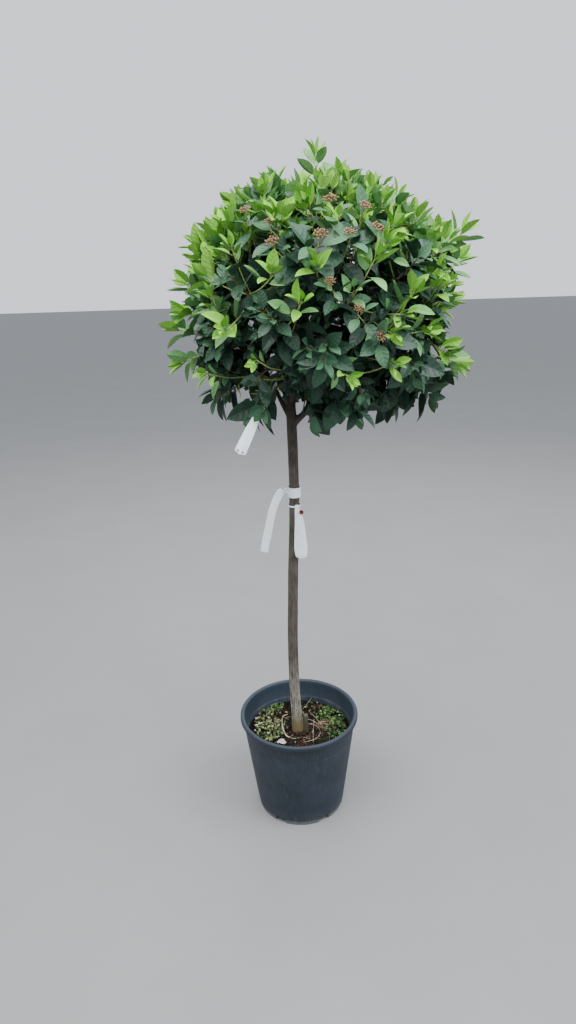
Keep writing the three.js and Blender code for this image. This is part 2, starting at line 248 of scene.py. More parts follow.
def asShape(piece):  # reads a modelled piece as a shape to copy, and takes the piece away
    mesh = piece.data
    uvs = np.zeros(len(mesh.loops) * 2, np.float32)
    if mesh.uv_layers:
        mesh.uv_layers[0].data.foreach_get("uv", uvs)
    shape = {
        "points": np.array([vert.co[:] for vert in mesh.vertices]),
        "faces": [list(polygon.vertices) for polygon in mesh.polygons],
        "uvs": uvs.reshape(-1, 2),
        "kinds": np.array([polygon.material_index for polygon in mesh.polygons], np.int32),
    }
    bpy.data.objects.remove(piece)
    return shape


def placeAt(origin, side, along, face, size):  # a 4x4 place from three axes and a size
    columns = [Vector(axis) * size for axis in (side, along, face)]
    place = Matrix(columns).transposed().to_4x4()
    place.translation = origin
    return place


def copiesPiece(name, shapes, places):  # copies of modelled shapes, joined as one mesh
    points, faces, uvs, kinds = [], [], [], []
    start = 0
    for index, place in enumerate(places):
        shape = shapes[index % len(shapes)]
        matrix = np.array(place)
        points.append(shape["points"] @ matrix[:3, :3].T + matrix[:3, 3])
        faces.extend([[start + corner for corner in face] for face in shape["faces"]])
        uvs.append(shape["uvs"])
        kinds.append(shape["kinds"])
        start += len(shape["points"])
    mesh = bpy.data.meshes.new(name)
    mesh.from_pydata(np.concatenate(points).tolist(), [], faces)
    mesh.polygons.foreach_set("material_index", np.concatenate(kinds))
    mesh.polygons.foreach_set("use_smooth", np.ones(len(faces), bool))
    layer = mesh.uv_layers.new(name="place")
    layer.data.foreach_set("uv", np.concatenate(uvs).ravel())
    mesh.update()
    return linked(name, mesh)


def roundPiece(name, profile, sides):  # drawn up from a circle, ring by ring: (radius, height)
    deselectAll()
    radius, height = profile[0]
    bpy.ops.mesh.primitive_circle_add(vertices=sides, radius=radius, location=(0, 0, height))
    piece = started(name)
    editAll(piece)
    bpy.ops.mesh.edge_face_add()
    for nextRadius, nextHeight in profile[1:]:
        rise = {"value": (0, 0, nextHeight - height)}
        spread = nextRadius / radius
        bpy.ops.mesh.extrude_region_move(TRANSFORM_OT_translate=rise)
        bpy.ops.transform.resize(value=(spread, spread, 1), center_override=(0, 0, nextHeight))
        radius, height = nextRadius, nextHeight
    endEdit()
    return piece


# Ways of making a material

def addNode(tree, kind, inputs=None, **settings):
    node = tree.nodes.new("ShaderNode" + kind)
    for name, value in settings.items():
        setattr(node, name, value)
    for name, value in (inputs or {}).items():
        setInput(node.inputs[name], value)
    return node


def setInput(socket, value):  # a value, a colour or another node's result
    if isinstance(value, bpy.types.NodeSocket):
        socket.id_data.links.new(value, socket)
    elif socket.type == "RGBA":
        socket.default_value = (*value, 1)
    else:
        socket.default_value = value


def shaderInput(material, name):
    return material.node_tree.nodes["Principled BSDF"].inputs[name]


def newMaterial(name, roughness, shine=0.5):
    material = bpy.data.materials.new(name)
    material.use_nodes = True
    setInput(shaderInput(material, "Roughness"), roughness)
    setInput(shaderInput(material, "Specular IOR Level"), shine)
    return material


def finishMaterial(material, colour, relief, strength, distance):
    values = {"Height": relief, "Strength": strength, "Distance": distance}
    bump = addNode(material.node_tree, "Bump", values)
    setInput(shaderInput(material, "Base Color"), colour)
    setInput(shaderInput(material, "Normal"), bump.outputs["Normal"])
    return material


def ownCoordinates(material, scale=(1, 1, 1)):  # the piece's own coordinates, stretched
    tree = material.node_tree
    coordinates = addNode(tree, "TexCoord")
    mapping = addNode(tree, "Mapping", {"Vector": coordinates.outputs["Object"], "Scale": scale})
    return mapping.outputs["Vector"]


def placeOf(vector):  # its three parts
    return addNode(vector.id_data, "SeparateXYZ", {"Vector": vector}).outputs


def noiseValue(vector, scale, detail=4, roughness=0.55):
    values = {"Vector": vector, "Scale": scale, "Detail": detail, "Roughness": roughness}
    return addNode(vector.id_data, "TexNoise", values).outputs["Fac"]


def ramp(factor, stops):  # stops are (position, colour)
    node = addNode(factor.id_data, "ValToRGB", {"Fac": factor})
    elements = node.color_ramp.elements
    while len(elements) < len(stops):
        elements.new(0.5)
    for element, (position, colour) in zip(elements, stops):
        element.position = position
        element.color = (*colour, 1)
    return node.outputs["Color"]


def mathValue(operation, first, second=0.0):
    tree = (second if isinstance(second, bpy.types.NodeSocket) else first).id_data
    return addNode(tree, "Math", {0: first, 1: second}, operation=operation).outputs["Value"]


def product(first, *others):
    for other in others:
        first = mathValue("MULTIPLY", first, other)
    return first


def rising(value, low, high):  # 0 under low, 1 over high
    values = {"Value": value, "From Min": low, "From Max": high}
    return addNode(value.id_data, "MapRange", values, clamp=True).outputs["Result"]


def falling(value, low, high):  # 1 under low, 0 over high
    return mathValue("SUBTRACT", 1.0, rising(value, low, high))


def layered(colour, layers):  # layers are (where, colour), each laid over the ones before
    for where, layer in layers:
        values = {"Fac": where, "Color1": colour, "Color2": layer}
        colour = addNode(where.id_data, "MixRGB", values).outputs["Color"]
    return colour


def speckMaterial(name, roughness, scale, stops):
    material = newMaterial(name, roughness, 0.25)
    even = ownCoordinates(material)
    colour = ramp(noiseValue(even, scale, 4), stops)
    return finishMaterial(material, colour, noiseValue(even, 900, 3), 0.5, 0.0006)


def stemMaterial(name, dark, light, roughness):
    material = newMaterial(name, roughness)
    streaks = noiseValue(ownCoordinates(material, (1, 1, 0.4)), 220)
    return finishMaterial(material, ramp(streaks, [(0.3, dark), (0.7, light)]), streaks, 0.4, 0.0006)


# Stem and boughs, with the bark's relief

stem = {
    "bends": [(-0.005, -0.008), (-0.012, -0.003), (-0.006, 0.002), (0.004, 0.003), (0.002, 0.0)],
    "foot": 0.2453, "fork": 1.216,
    "radiusLow": 0.0156, "radiusTop": 0.0134, "flare": 0.0025, "flareReach": 0.06,
    "stubFoot": (0.018, -0.015, 0.236), "stubTop": (0.019, -0.014, 0.304), "stubRadius": 0.0072,
    "stubSwell": 1.4, "scarHeights": [0.372, 0.455, 0.566, 0.64, 0.748, 0.871, 1.047, 1.118],
    "scarRadius": 0.0062, "scarScale": (0.9, 0.9, 1.5), "scarOut": 0.82, "scarCut": 0.62, "scarDip": 0.0016,
    "voxel": 0.0017,
    # size of the noise, its depth and how far it is drawn out upwards
    "fissures": (0.0075, 0.0013, 7), "grain": (0.0032, 0.0006, 2.5),
}

centre = Vector((0.07, 0, 1.455))  # of the head
head = {
    "sideReach": 0.352, "upReach": 0.332, "downReach": 0.272,
    "upperRoundness": 2.1, "lowerRoundness": 2.8, "boughEnd": 0.06, "boughSwell": 1.35, "swellShare": 0.12,
    "upperSweep": (0.3, 0.55), "lowerSweep": (0.42, 0.6), "gap": 0.0003,
}

# Where each mass sits round the head's centre: bearing, distance out, height; then the height of
# its bough's root on the stem or leader, and the bough's radius at its foot and its tip
massPlan = {
    "top": (180, 0.012, 0.185, 1.216, 0.0125, 0.0065),
    "upper_left": (205, 0.15, 0.08, 1.322, 0.008, 0.005),
    "upper_front": (295, 0.15, 0.082, 1.345, 0.008, 0.005),
    "upper_right": (25, 0.155, 0.08, 1.33, 0.008, 0.005),
    "upper_back": (115, 0.15, 0.082, 1.352, 0.008, 0.005),
    "lower_left": (165, 0.16, -0.09, 1.186, 0.0065, 0.0045),
    "lower_front": (255, 0.158, -0.09, 1.24, 0.007, 0.0045),
    "lower_right": (345, 0.165, -0.09, 1.176, 0.0085, 0.005),
    "lower_back": (75, 0.158, -0.09, 1.252, 0.007, 0.0045),
}
sites = {}
for name, plan in massPlan.items():
    sites[name] = centre + heading(plan[0], 0) * plan[1] + up * plan[2]


def stemPath():
    last = len(stem["bends"]) - 1
    heights = [between(stem["foot"], stem["fork"], i / last) for i in range(last + 1)]
    return smoothThrough([(*bend, height) for bend, height in zip(stem["bends"], heights)], 12)


def leaderPath():
    end = sites["top"] + Vector((-0.012, 0, -head["boughEnd"]))
    start = (*stem["bends"][-1], stem["fork"] + head["gap"])
    return smoothThrough([start, (0.008, 0.004, 1.33), (0.03, -0.006, 1.45), end], 8)


def boughPath(name):
    site = sites[name]
    height, root = massPlan[name][2:4]
    foot = pointAtHeight(stemLine if root <= stem["fork"] else leaderLine, root)
    entry = site - (site - foot).normalized() * head["boughEnd"]
    out, rise = head["upperSweep"] if height > 0 else head["lowerSweep"]
    bend = foot.lerp(site, out)
    bend.z = between(foot.z, entry.z, rise)
    shares = [step / 12 for step in range(13)]
    return [foot * (1 - t)**2 + bend * 2 * t * (1 - t) + entry * t**2 for t in shares]


stemLine = stemPath()
leaderLine = leaderPath()
boughLines = {name: leaderLine if name == "top" else boughPath(name) for name in massPlan}


def stemStrand():
    length = stem["fork"] - stem["foot"]
    shares = [i / 40 for i in range(41)]
    radii = []
    for share in shares:
        flare = stem["flare"] * math.exp(-2 * share * length / stem["flareReach"])
        radii.append(between(stem["radiusLow"], stem["radiusTop"], share) + flare)
    return smoothThrough(stemLine, 2), (shares, radii)


def makeScars():  # swellings where side shoots were cut from the stem, each flat with a dip in it
    scars = []
    cut = stem["scarRadius"] * stem["scarCut"]
    for number, height in enumerate(stem["scarHeights"]):
        out = heading(360 * chance(number, 51), 10)
        place = pointAtHeight(stemLine, height) + out * stem["radiusTop"] * stem["scarOut"]
        deselectAll()
        bpy.ops.mesh.primitive_ico_sphere_add(subdivisions=3, radius=stem["scarRadius"], location=place)
        scar = started("scar", stem["scarScale"])
        moveWhere(scar, lambda point: (point - place).dot(out) > cut, -out * stem["scarDip"])
        scars.append(scar)
    return scars


def addRelief(piece, name):  # noise pressed into a surface, drawn out upwards
    size, depth, stretch = stem[name]
    texture = bpy.data.textures.new(name, "CLOUDS")
    texture.noise_scale = size
    texture.noise_depth = 3
    guide = linked(name, None)
    guide.scale = (1, 1, stretch)
    bpy.context.view_layer.update()
    place = {"texture_coords": "OBJECT", "texture_coords_object": guide}
    modify(piece, "DISPLACE", texture=texture, strength=depth, mid_level=0.55, **place)
    bpy.data.objects.remove(guide)


def makeBarkedLimbs():
    strands = [stemStrand()]
    for name, line in boughLines.items():
        thick, thin = massPlan[name][4:]
        if name == "top":
            strands.append(tapered(smoothThrough(line, 2), thick, thin))
        else:  # swollen where it leaves the stem
            radii = (thick * head["boughSwell"], thick, thin)
            strands.append((line, ([0, head["swellShare"], 1], radii)))
    stubLine = smoothThrough([stem["stubFoot"], stem["stubTop"]], 6)
    strands.append(tapered(stubLine, stem["stubRadius"] * stem["stubSwell"], stem["stubRadius"]))
    limbs = join([strandPiece("barkedLimbs", strands, 4)] + makeScars(), "barkedLimbs")
    modify(limbs, "REMESH", mode="VOXEL", voxel_size=stem["voxel"])
    modify(limbs, "SMOOTH", factor=0.5, iterations=4)
    addRelief(limbs, "fissures")
    addRelief(limbs, "grain")
    only(limbs)
    bpy.ops.object.shade_smooth()
    return limbs


def barkMaterial():
    material = newMaterial("agedBark", 0.85)
    even = ownCoordinates(material)
    streaks = noiseValue(ownCoordinates(material, (1, 1, 0.14)), 260, 6, 0.65)
    patches = noiseValue(even, 38, 5)
    across, _, height = placeOf(even)
    low = falling(height, 0.28, 0.5)
    grey = product(rising(patches, 0.4, 0.75), 0.45)
    paleFoot = product(low, rising(streaks, 0.38, 0.56))
    specks = product(low, rising(noiseValue(even, 210, 3, 0.7), 0.54, 0.6))
    algae = product(falling(height, 0.266, 0.335), rising(patches, 0.25, 0.5))
    lowest = product(falling(height, 0.25, 0.298), 0.75)
    stub = product(rising(across, 0.01, 0.012), low, 0.85)
    # painted shade: the wood inside the head is painted darker, where the leaves shade it
    paintedShadeInHead = product(rising(height, 1.12, 1.26), 0.75)
    bare = ramp(streaks, [
        (0.3, (0.02, 0.015, 0.01)), (0.5, (0.048, 0.037, 0.027)), (0.72, (0.108, 0.086, 0.065)),
    ])
    colour = layered(bare, [
        (grey, (0.11, 0.101, 0.086)), (paleFoot, (0.36, 0.34, 0.29)), (specks, (0.05, 0.044, 0.038)),
        (algae, (0.13, 0.118, 0.048)), (lowest, (0.14, 0.086, 0.038)), (stub, (0.042, 0.032, 0.016)),
        (paintedShadeInHead, (0.03, 0.022, 0.016)),
    ])
    return finishMaterial(material, colour, streaks, 0.7, 0.0012)


limbs = makeBarkedLimbs()
finishPiece(limbs, [barkMaterial()], ["trunk"] + ["bough_" + name for name in massPlan])
print("stem and boughs done", len(limbs.data.polygons))


# Twigs: the source's rule, carried on to side shoots

growth = {
    "twigCount": 58, "tipToLeafTip": 0.049, "leafyLength": 0.062, "seamMargin": 0.03, "leafReach": 0.046,
    "twigRadii": (0.0032, 0.0015), "shootRadii": (0.0015, 0.0009),
    "sideBacks": [0.036, 0.068, 0.104, 0.146], "sideLengths": [0.046, 0.06, 0.072, 0.08],
    "sideLean": 42, "shortest": 0.02, "longest": 0.12,
    "missing": 0.1, "missingLow": 0.26, "bareTwigs": 0.22, "missingBare": 0.7,
    "standOut": (0.018, 0.04), "twigletShare": 0.6, "twigletBack": 0.018, "twigletLengths": (0.024, 0.036),
}

# Long shoots that stand out of the head: bearing, elevation, reach from the centre
longShoots = [
    (0, 89, 0.388), (20, 78, 0.352), (175, 72, 0.345), (8, 62, 0.338), (195, 38, 0.345), (172, 54, 0.34),
    (352, 26, 0.425), (6, 17, 0.415), (5, 36, 0.342), (350, 9, 0.362), (176, 13, 0.368), (186, -4, 0.384),
    (348, -20, 0.405), (4, -26, 0.405), (352, -37, 0.392), (10, -48, 0.355), (183, -18, 0.392),
    (176, -38, 0.374), (262, -48, 0.348), (300, -45, 0.35), (85, -20, 0.412), (100, 22, 0.404),
    (236, -40, 0.352), (218, -48, 0.34), (338, 24, 0.395), (346, 31, 0.372),
]


def crownReach(direction):
    roundness = head["upperRoundness"] if direction.z > 0 else head["lowerRoundness"]
    tall = head["upReach"] if direction.z > 0 else head["downReach"]
    flat = math.hypot(direction.x, direction.y)
    total = (flat / head["sideReach"])**roundness + (abs(direction.z) / tall)**roundness
    return total**(-1 / roundness)


def spaceMargin(mass, point):  # how far a point lies inside the space that belongs to a mass
    margins = []
    for other in sites:
        if other != mass:
            across = sites[mass] - sites[other]
            margins.append((point - (sites[mass] + sites[other]) / 2).dot(across) / across.length)
    return min(margins)


def heldInside(tip, reachShare, leafShare):  # a tip drawn back to leave room for its leaves
    out = tip - centre
    room = crownReach(out.normalized()) * reachShare - growth["leafReach"] * leafShare
    return centre + out.normalized() * room if out.length > max(room, 0) else tip


def inThinPart(away):  # low down, most on the left, the head is open
    return away.z < (-0.04 if away.x < 0.05 else -0.12)


def twigPlans():
    plans = []
    goldenTurn = 180 * (3 - math.sqrt(5))  # degrees
    for i in range(growth["twigCount"]):
        level = 1 - (2 * i + 1) / growth["twigCount"]
        outward = heading(i * goldenTurn, math.degrees(math.asin(level)))
        plans.append((outward, crownReach(outward) * (0.93 + 0.09 * chance(i, 1))))
    return plans + [(heading(bearing, elevation), reach) for bearing, elevation, reach in longShoots]


def growTwig(number, outward, reach):
    tip = centre + outward * (reach - growth["tipToLeafTip"])
    mass = min(sites, key=lambda name: (tip - sites[name]).length)
    home = (sites[mass] - centre).normalized()
    for nudge in range(5):
        if spaceMargin(mass, tip) < growth["seamMargin"]:
            outward = (outward + home * 0.06).normalized()
            tip = centre + outward * (reach - growth["tipToLeafTip"])
    low = outward.z < -0.15
    forward = (outward + up * (0.05 if low else 0.4)).normalized()
    bend = tip - forward * growth["leafyLength"]
    start = boughLines[mass][-1].lerp(sites[mass], 0.2 + 0.8 * chance(number, 5))
    middle = start.lerp(bend, 0.5) + up * (-0.012 if low else -0.02)
    path = smoothThrough([start, middle, bend, tip], 4)
    return {"path": path, "forward": forward, "low": low, "limit": reach, "number": number, "order": 0}


def growSideShoot(twig, item, level, foot, along, side):
    low = twig["low"]
    lean = math.radians(growth["sideLean"] + 24 * chance(item, 4) - 8)
    forward = along * math.cos(lean) + side * math.sin(lean)
    forward = (forward + up * (-0.15 if low else 0.18)).normalized()
    length = growth["sideLengths"][level] * (0.75 + 0.5 * chance(item, 6))
    tip = foot + forward * length
    outward = (tip - centre).normalized()
    tip = heldInside(tip, 0.88 + 0.1 * chance(item, 8), 1)
    forward = (forward + (outward + up * (0 if low else 0.5)) * 0.35).normalized()
    path = smoothThrough([foot, foot.lerp(tip, 0.5) - up * 0.004, tip], 2)
    return {
        "path": path, "forward": forward, "low": low, "limit": twig["limit"] - 0.012,
        "number": 1000 + item, "order": level + 1,
    }


def growSideShoots(twig):
    number = twig["number"]
    firstSide = sideOf(twig["forward"], 180 * chance(number, 3))
    shoots = []
    for level, back in enumerate(growth["sideBacks"]):
        foot = pointBack(twig["path"], back)
        along = (pointBack(twig["path"], back - 0.01) - foot).normalized()
        away = foot - centre
        if away.length > crownReach(away.normalized()) * 0.9 - growth["leafReach"]:
            continue  # a shoot that stands out of the head is bare under its leafy end
        missing = growth["missingLow"] if inThinPart(away) else growth["missing"]
        if away.z < -0.1 and chance(number, 10) < growth["bareTwigs"]:
            missing = growth["missingBare"]  # gaps between the clusters that hang lowest
        for hand in range(2):
            item = number * 10 + level * 2 + hand
            if chance(item, 9) < missing:
                continue
            side = squareTo(turned(firstSide, twig["forward"], 90 * level + 180 * hand), along)
            shoot = growSideShoot(twig, item, level, foot, along, side)
            if growth["shortest"] <= (shoot["path"][-1] - foot).length <= growth["longest"]:
                shoots.append(shoot)
    return shoots


twigs = [growTwig(number, outward, reach) for number, (outward, reach) in enumerate(twigPlans())]
sideShoots = [shoot for twig in twigs for shoot in growSideShoots(twig)]


# Leaves: a few forms modelled once, then dealt out in pairs along the shoots

leaf = {
    # place along the leaf and width there, from the stalk to the pointed tip
    "outline": [
        (0, 0.06), (0.08, 0.48), (0.22, 0.84), (0.42, 1), (0.61, 0.93), (0.79, 0.64), (0.92, 0.28), (1, 0),
    ],
    "ribHalf": 0.022, "thickness": 0.0009, "petiole": 0.011, "petioleRadius": 0.001,
    # length, width, fold along the rib, droop to the tip, twist in degrees
    "grownForms": [
        (0.07, 0.038, 0.0058, 0.011, 10), (0.07, 0.043, 0.0042, 0.019, -15),
        (0.07, 0.036, 0.0074, 0.005, 19),
    ],
    "youngForms": [(0.055, 0.029, 0.0072, -0.004, 9), (0.055, 0.026, 0.006, 0.007, -17)],
    # from the smallest size to the largest, and how far the leaves of each age sink
    "youngSizes": (0.7, 1.12), "grownSizes": (0.52, 1.26), "leastOnLong": 0.92, "insideLength": 0.066,
    "sinks": {"bright": 0.02, "fresh": -0.08, "mature": -0.3, "old": -0.3, "budding": -0.3},
    "lowSink": -0.3,
}

# Pairs of leaves from a shoot's tip down: back from the tip, spread from the shoot, length
leafPairs = {
    "bright": [(0.001, 12, 0.038), (0.006, 28, 0.049), (0.019, 42, 0.056), (0.04, 54, 0.06)],
    "fresh": [(0.001, 18, 0.038), (0.008, 36, 0.052), (0.025, 50, 0.06), (0.047, 62, 0.065)],
    "mature": [
        (0.001, 22, 0.034), (0.008, 38, 0.05), (0.022, 52, 0.064), (0.04, 62, 0.07), (0.059, 66, 0.066),
    ],
    "old": [
        (0.001, 30, 0.036), (0.009, 46, 0.052), (0.024, 58, 0.065), (0.042, 66, 0.069), (0.061, 68, 0.066),
    ],
    "budding": [(0.008, 46, 0.056), (0.03, 58, 0.07), (0.054, 66, 0.072)],
}
leafColours = {
    "bright": ["bright", "bright", "young", "young"],
    "fresh": ["young", "young", "young", "mid"],
    "mature": ["mid", "dark", "dark", "deep", "deep"],
    "old": ["mid", "dark", "deep", "deep", "deep"],
    "budding": ["mid", "dark", "deep"],
}

# How young growth is spread: the share everywhere, more on top and at the flanks, less low down and
# in front, how much it varies, what each side shoot further down loses, and where each age begins
vigour = {
    "least": 0.16, "top": 0.52, "flank": 0.3, "low": 0.22, "lowInFront": 0.16, "spread": 0.56, "down": 0.05,
    "ages": [("bright", 0.55), ("fresh", 0.4), ("mature", 0.1)], "budding": 0.955, "longLow": -0.42,
}

# Shoots that stand out: age, size of their leaves, and the bearing and elevation of each
markedShoots = [
    ("budding", 1, [
        (276, 43), (291, 40), (293, 30), (282, 29), (251, 26), (230, 41), (269, 28), (273, 12), (283, 2),
        (291, -8), (247, 35),
    ]),
    ("bright", 1, [
        (262, 7), (268, 19), (292, 22), (251, 17), (251, 40), (279, 39), (228, 28), (193, 29), (216, 17),
        (188, 1), (230, -3), (347, 9), (308, 9), (327, 10), (303, 1), (298, -6), (318, -6), (341, 30),
        (345, -17), (209, -22), (305, 34), (217, 39), (247, 42), (299, 28), (201, 24), (222, 9),
    ]),
    ("bright", 0.72, [(243, -14), (280, -21), (299, -17)]),
    ("fresh", 1, [(330, 16)]),
]


def leafSheet(form, columns):  # columns are (place across, height), from the left edge to the right
    length, width, _, droop, twist = form
    rows = len(leaf["outline"]) - 1
    last = len(columns) - 1
    deselectAll()
    bpy.ops.mesh.primitive_grid_add(x_subdivisions=last, y_subdivisions=rows, size=1, location=(0, 0.5, 0))
    sheet = started("leafSheet")
    edit(sheet)
    for column, (across, height) in enumerate(columns):
        here = column / last - 0.5
        selectWhere(sheet, lambda point: abs(point.x - here) < 0.01)
        bpy.ops.transform.translate(value=(across - here, 0, height))
    for row, (share, wide) in enumerate(leaf["outline"]):
        here = row / rows
        middle = (0, here, 0)
        selectWhere(sheet, lambda point: abs(point.y - here) < 0.01)
        bpy.ops.transform.resize(value=(wide * width, 1, wide), center_override=middle)
        bpy.ops.transform.rotate(value=math.radians(twist * share), orient_axis="Y", center_override=middle)
        bpy.ops.transform.translate(value=(0, share - here, -droop * share**2))
    bpy.ops.mesh.select_all(action="SELECT")
    bpy.ops.transform.resize(value=(1, length, 1), center_override=(0, 0, 0))
    endEdit()
    return sheet


def modelLeaf(form):
    fold, rib = form[2], leaf["ribHalf"]
    left = [(-0.5, fold), (-0.27, fold * 0.68), (-rib, 0)]
    right = [(-across, height) for across, height in reversed(left)]
    top = leafSheet(form, left + right)
    below = leafSheet(form, [left[0], (0, -leaf["thickness"]), right[-1]])
    editAll(below)
    bpy.ops.mesh.flip_normals()
    blade = join([top, below], "leafForm")
    editAll(blade)
    bpy.ops.mesh.remove_doubles(threshold=0.00001)
    bpy.ops.mesh.normals_make_consistent(inside=False)
    endEdit()
    for polygon in blade.data.polygons:  # upper side, rib and underside, each with its own finish
        nearRib = abs(polygon.center.x) < rib * form[1] * 0.6
        polygon.material_index = 2 if polygon.normal.z < 0 else (1 if nearRib else 0)
    return asShape(blade)


def modelPetiole():
    deselectAll()
    radius = leaf["petioleRadius"]
    bpy.ops.mesh.primitive_cylinder_add(vertices=3, radius=radius, depth=1, location=(0, 0, 0.5))
    petiole = started("petiole")
    resizeWhere(petiole, lambda point: point.z > 0.5, (0.75, 0.75, 1), (0, 0, 1))
    return asShape(petiole)


def isLong(shoot):
    return shoot["order"] == 0 and shoot["number"] >= growth["twigCount"]


def ageOf(shoot):
    out = (shoot["path"][-1] - centre).normalized()
    if isLong(shoot) and out.z > vigour["longLow"]:
        return "bright"
    if chance(shoot["number"], 62) > vigour["budding"] and out.z > 0.05 and out.y > -0.3:
        return "budding"
    top = smoothStep(0.2, 0.68, out.z)
    flank = smoothStep(0.55, 0.95, abs(out.x) / math.hypot(out.x, out.y)) * smoothStep(-0.55, 0.0, out.z)
    here = vigour["least"] + vigour["top"] * top + vigour["flank"] * flank * (1 - top)
    here -= vigour["low"] * smoothStep(0.0, 0.45, -out.z)
    here -= vigour["lowInFront"] * smoothStep(0.0, 0.5, -out.y) * smoothStep(-0.05, 0.3, -out.z)
    spread = vigour["spread"] * (chance(shoot["number"], 61) - 0.5)
    here += spread - vigour["down"] * max(shoot["order"] - 1, 0)
    return next((age for age, least in vigour["ages"] if here > least), "old")


def markShoots(age, size, spots):  # the free side shoot nearest to each spot grows to it
    for bearing, elevation in spots:
        out = heading(bearing, elevation)
        spot = centre + out * (crownReach(out) - 0.038)
        free = [shoot for shoot in sideShoots if not shoot.get("marked")]
        nearest = min(free, key=lambda shoot: (shoot["path"][-1] - spot).length)
        foot = nearest["path"][0]
        path = smoothThrough([foot, foot.lerp(spot, 0.5) - up * 0.006, spot], 4)
        forward = (nearest["forward"] + out + up * 0.4).normalized()
        nearest.update({"path": path, "forward": forward, "age": age, "size": size, "marked": True})


clear = {"stem": 0.026, "label": 0.017, "halfWidth": 0.04, "back": 0.05, "top": 1.252, "slope": 0.19}
labelLine = [Vector(point) / 1000 for point in [(-89, -188, 1215), (-104, -200, 1184), (-122, -205, 1156)]]

# Gaps the photo shows low in the head: x and height where the line of sight passes the stem, and a radius
sightGaps = [
    (-0.037, 1.25, 0.018), (-0.092, 1.263, 0.019), (-0.125, 1.255, 0.017), (-0.047, 1.311, 0.018),
    (0.022, 1.253, 0.012), (-0.129, 1.371, 0.014), (-0.096, 1.439, 0.014), (0.235, 1.27, 0.017),
    (0.296, 1.35, 0.012),
]
sightWays = [((Vector((x, 0, z)) - eye).normalized(), radius) for x, z, radius in sightGaps]


def inClearing(point):  # the notch under the head where the fork shows
    top = clear["top"] + clear["slope"] * abs(point.y)
    return abs(point.x - stemLine[-1].x) < clear["halfWidth"] and point.y < clear["back"] and point.z < top


def isFree(point):  # out of the notch and the gaps, off the stem and off the label under the head
    if inClearing(point) or any((point - eye).cross(way).length < radius for way, radius in sightWays):
        return False
    if point.z >= stem["fork"] + 0.03:
        return True
    offStem = (point - pointAtHeight(stemLine, point.z)).length >= clear["stem"]
    return offStem and all((point - other).length >= clear["label"] for other in labelLine)


leafPlaces = {"deep": [], "dark": [], "mid": [], "young": [], "bright": []}
petiolePlaces = []
budPlaces = []


def formsOf(colour):
    return leaf["youngForms"] if colour in ("young", "bright") else leaf["grownForms"]


def addLeaf(node, direction, facing, length, colour, limit):  # shorter where there is less room
    base = node + direction * leaf["petiole"]
    for shrink in (1, 0.85, 0.7):
        size = length * shrink
        out = base + direction * size - centre
        points = [base + direction * size * share for share in (0.1, 0.5, 1)]
        if out.length < limit(out.normalized()) and all(isFree(point) for point in points):
            face = squareTo(facing, direction)
            side = direction.cross(face)
            leafPlaces[colour].append(placeAt(base, side, direction, face, size / formsOf(colour)[0][0]))
            petiole = placeAt(node, side, face, direction, 1)
            for row in range(3):
                petiole[row][2] *= leaf["petiole"] * 1.1
            petiolePlaces.append(petiole)
            return


def dress(shoot):
    path, forward, low, number, age = [shoot[key] for key in ("path", "forward", "low", "number", "age")]
    whole = sum((there - here).length for here, there in zip(path, path[1:]))
    smallest, largest = leaf["youngSizes"] if age in ("bright", "fresh") else leaf["grownSizes"]
    if isLong(shoot):
        smallest = leaf["leastOnLong"]
    size = between(smallest, largest, chance(number, 2)**1.6) * shoot.get("size", 1)
    firstSide = sideOf(forward, 180 * chance(number, 7))
    longest = shoot["limit"] - (0.02 if shoot["order"] else 0)
    sink = leaf["sinks"][age] + (leaf["lowSink"] if low else 0)

    def limit(direction):
        return max(crownReach(direction) * 1.03, longest)

    for pair, (back, spread, length) in enumerate(leafPairs[age]):
        if back > whole * 0.85:
            break
        node = pointBack(path, back)
        colour = leafColours[age][pair]
        if colour == "young" and shoot.get("marked") and pair < 3:
            colour = "bright"  # in the tufts that stand out only the lowest pair is duller
        for hand in range(2):
            use = 20 + pair * 2 + hand
            lean = math.radians(spread + 10 * chance(number, use))
            side = turned(firstSide, forward, 90 * pair + 180 * hand + 16 * chance(number, use + 30))
            direction = forward * math.cos(lean) + side * math.sin(lean)
            direction = (direction + up * sink * (0.4 + 0.6 * math.sin(lean))).normalized()
            facing = forward + up * (0.5 if low else 0.8)
            facing += heading(360 * chance(number, use + 50), 60 * chance(number, use + 60) - 30) * 0.6
            long = length * size * (0.9 + 0.2 * chance(number, use + 70))
            addLeaf(node, direction, facing, long, colour, limit)
    if age == "budding":
        budPlaces.append((path[-1], (forward + up * 0.5).normalized(), number))


def dressNodes(twig):  # old leaves under the side shoots, inside the head
    number, along = twig["number"], twig["forward"]
    if twig["low"] and chance(number, 11) < 0.5:
        return  # the head is open low down
    for level, back in enumerate(growth["sideBacks"][1:]):
        node = pointBack(twig["path"], back + 0.004)
        for hand in range(2):
            side = sideOf(along, 360 * chance(number, 200 + level * 2 + hand))
            direction = (along * 0.35 + side - up * 0.25).normalized()
            colour = "deep" if level else "dark"
            addLeaf(node, direction, along + up * 0.6, leaf["insideLength"], colour, crownReach)


def standOut(shoot):  # a vigorous shoot grows on past the leaves round it, on a bare green stem
    more = between(*growth["standOut"], chance(shoot["number"], 64))
    shoot["path"].append(shoot["path"][-1] + (shoot["forward"] + up * 0.25).normalized() * more)


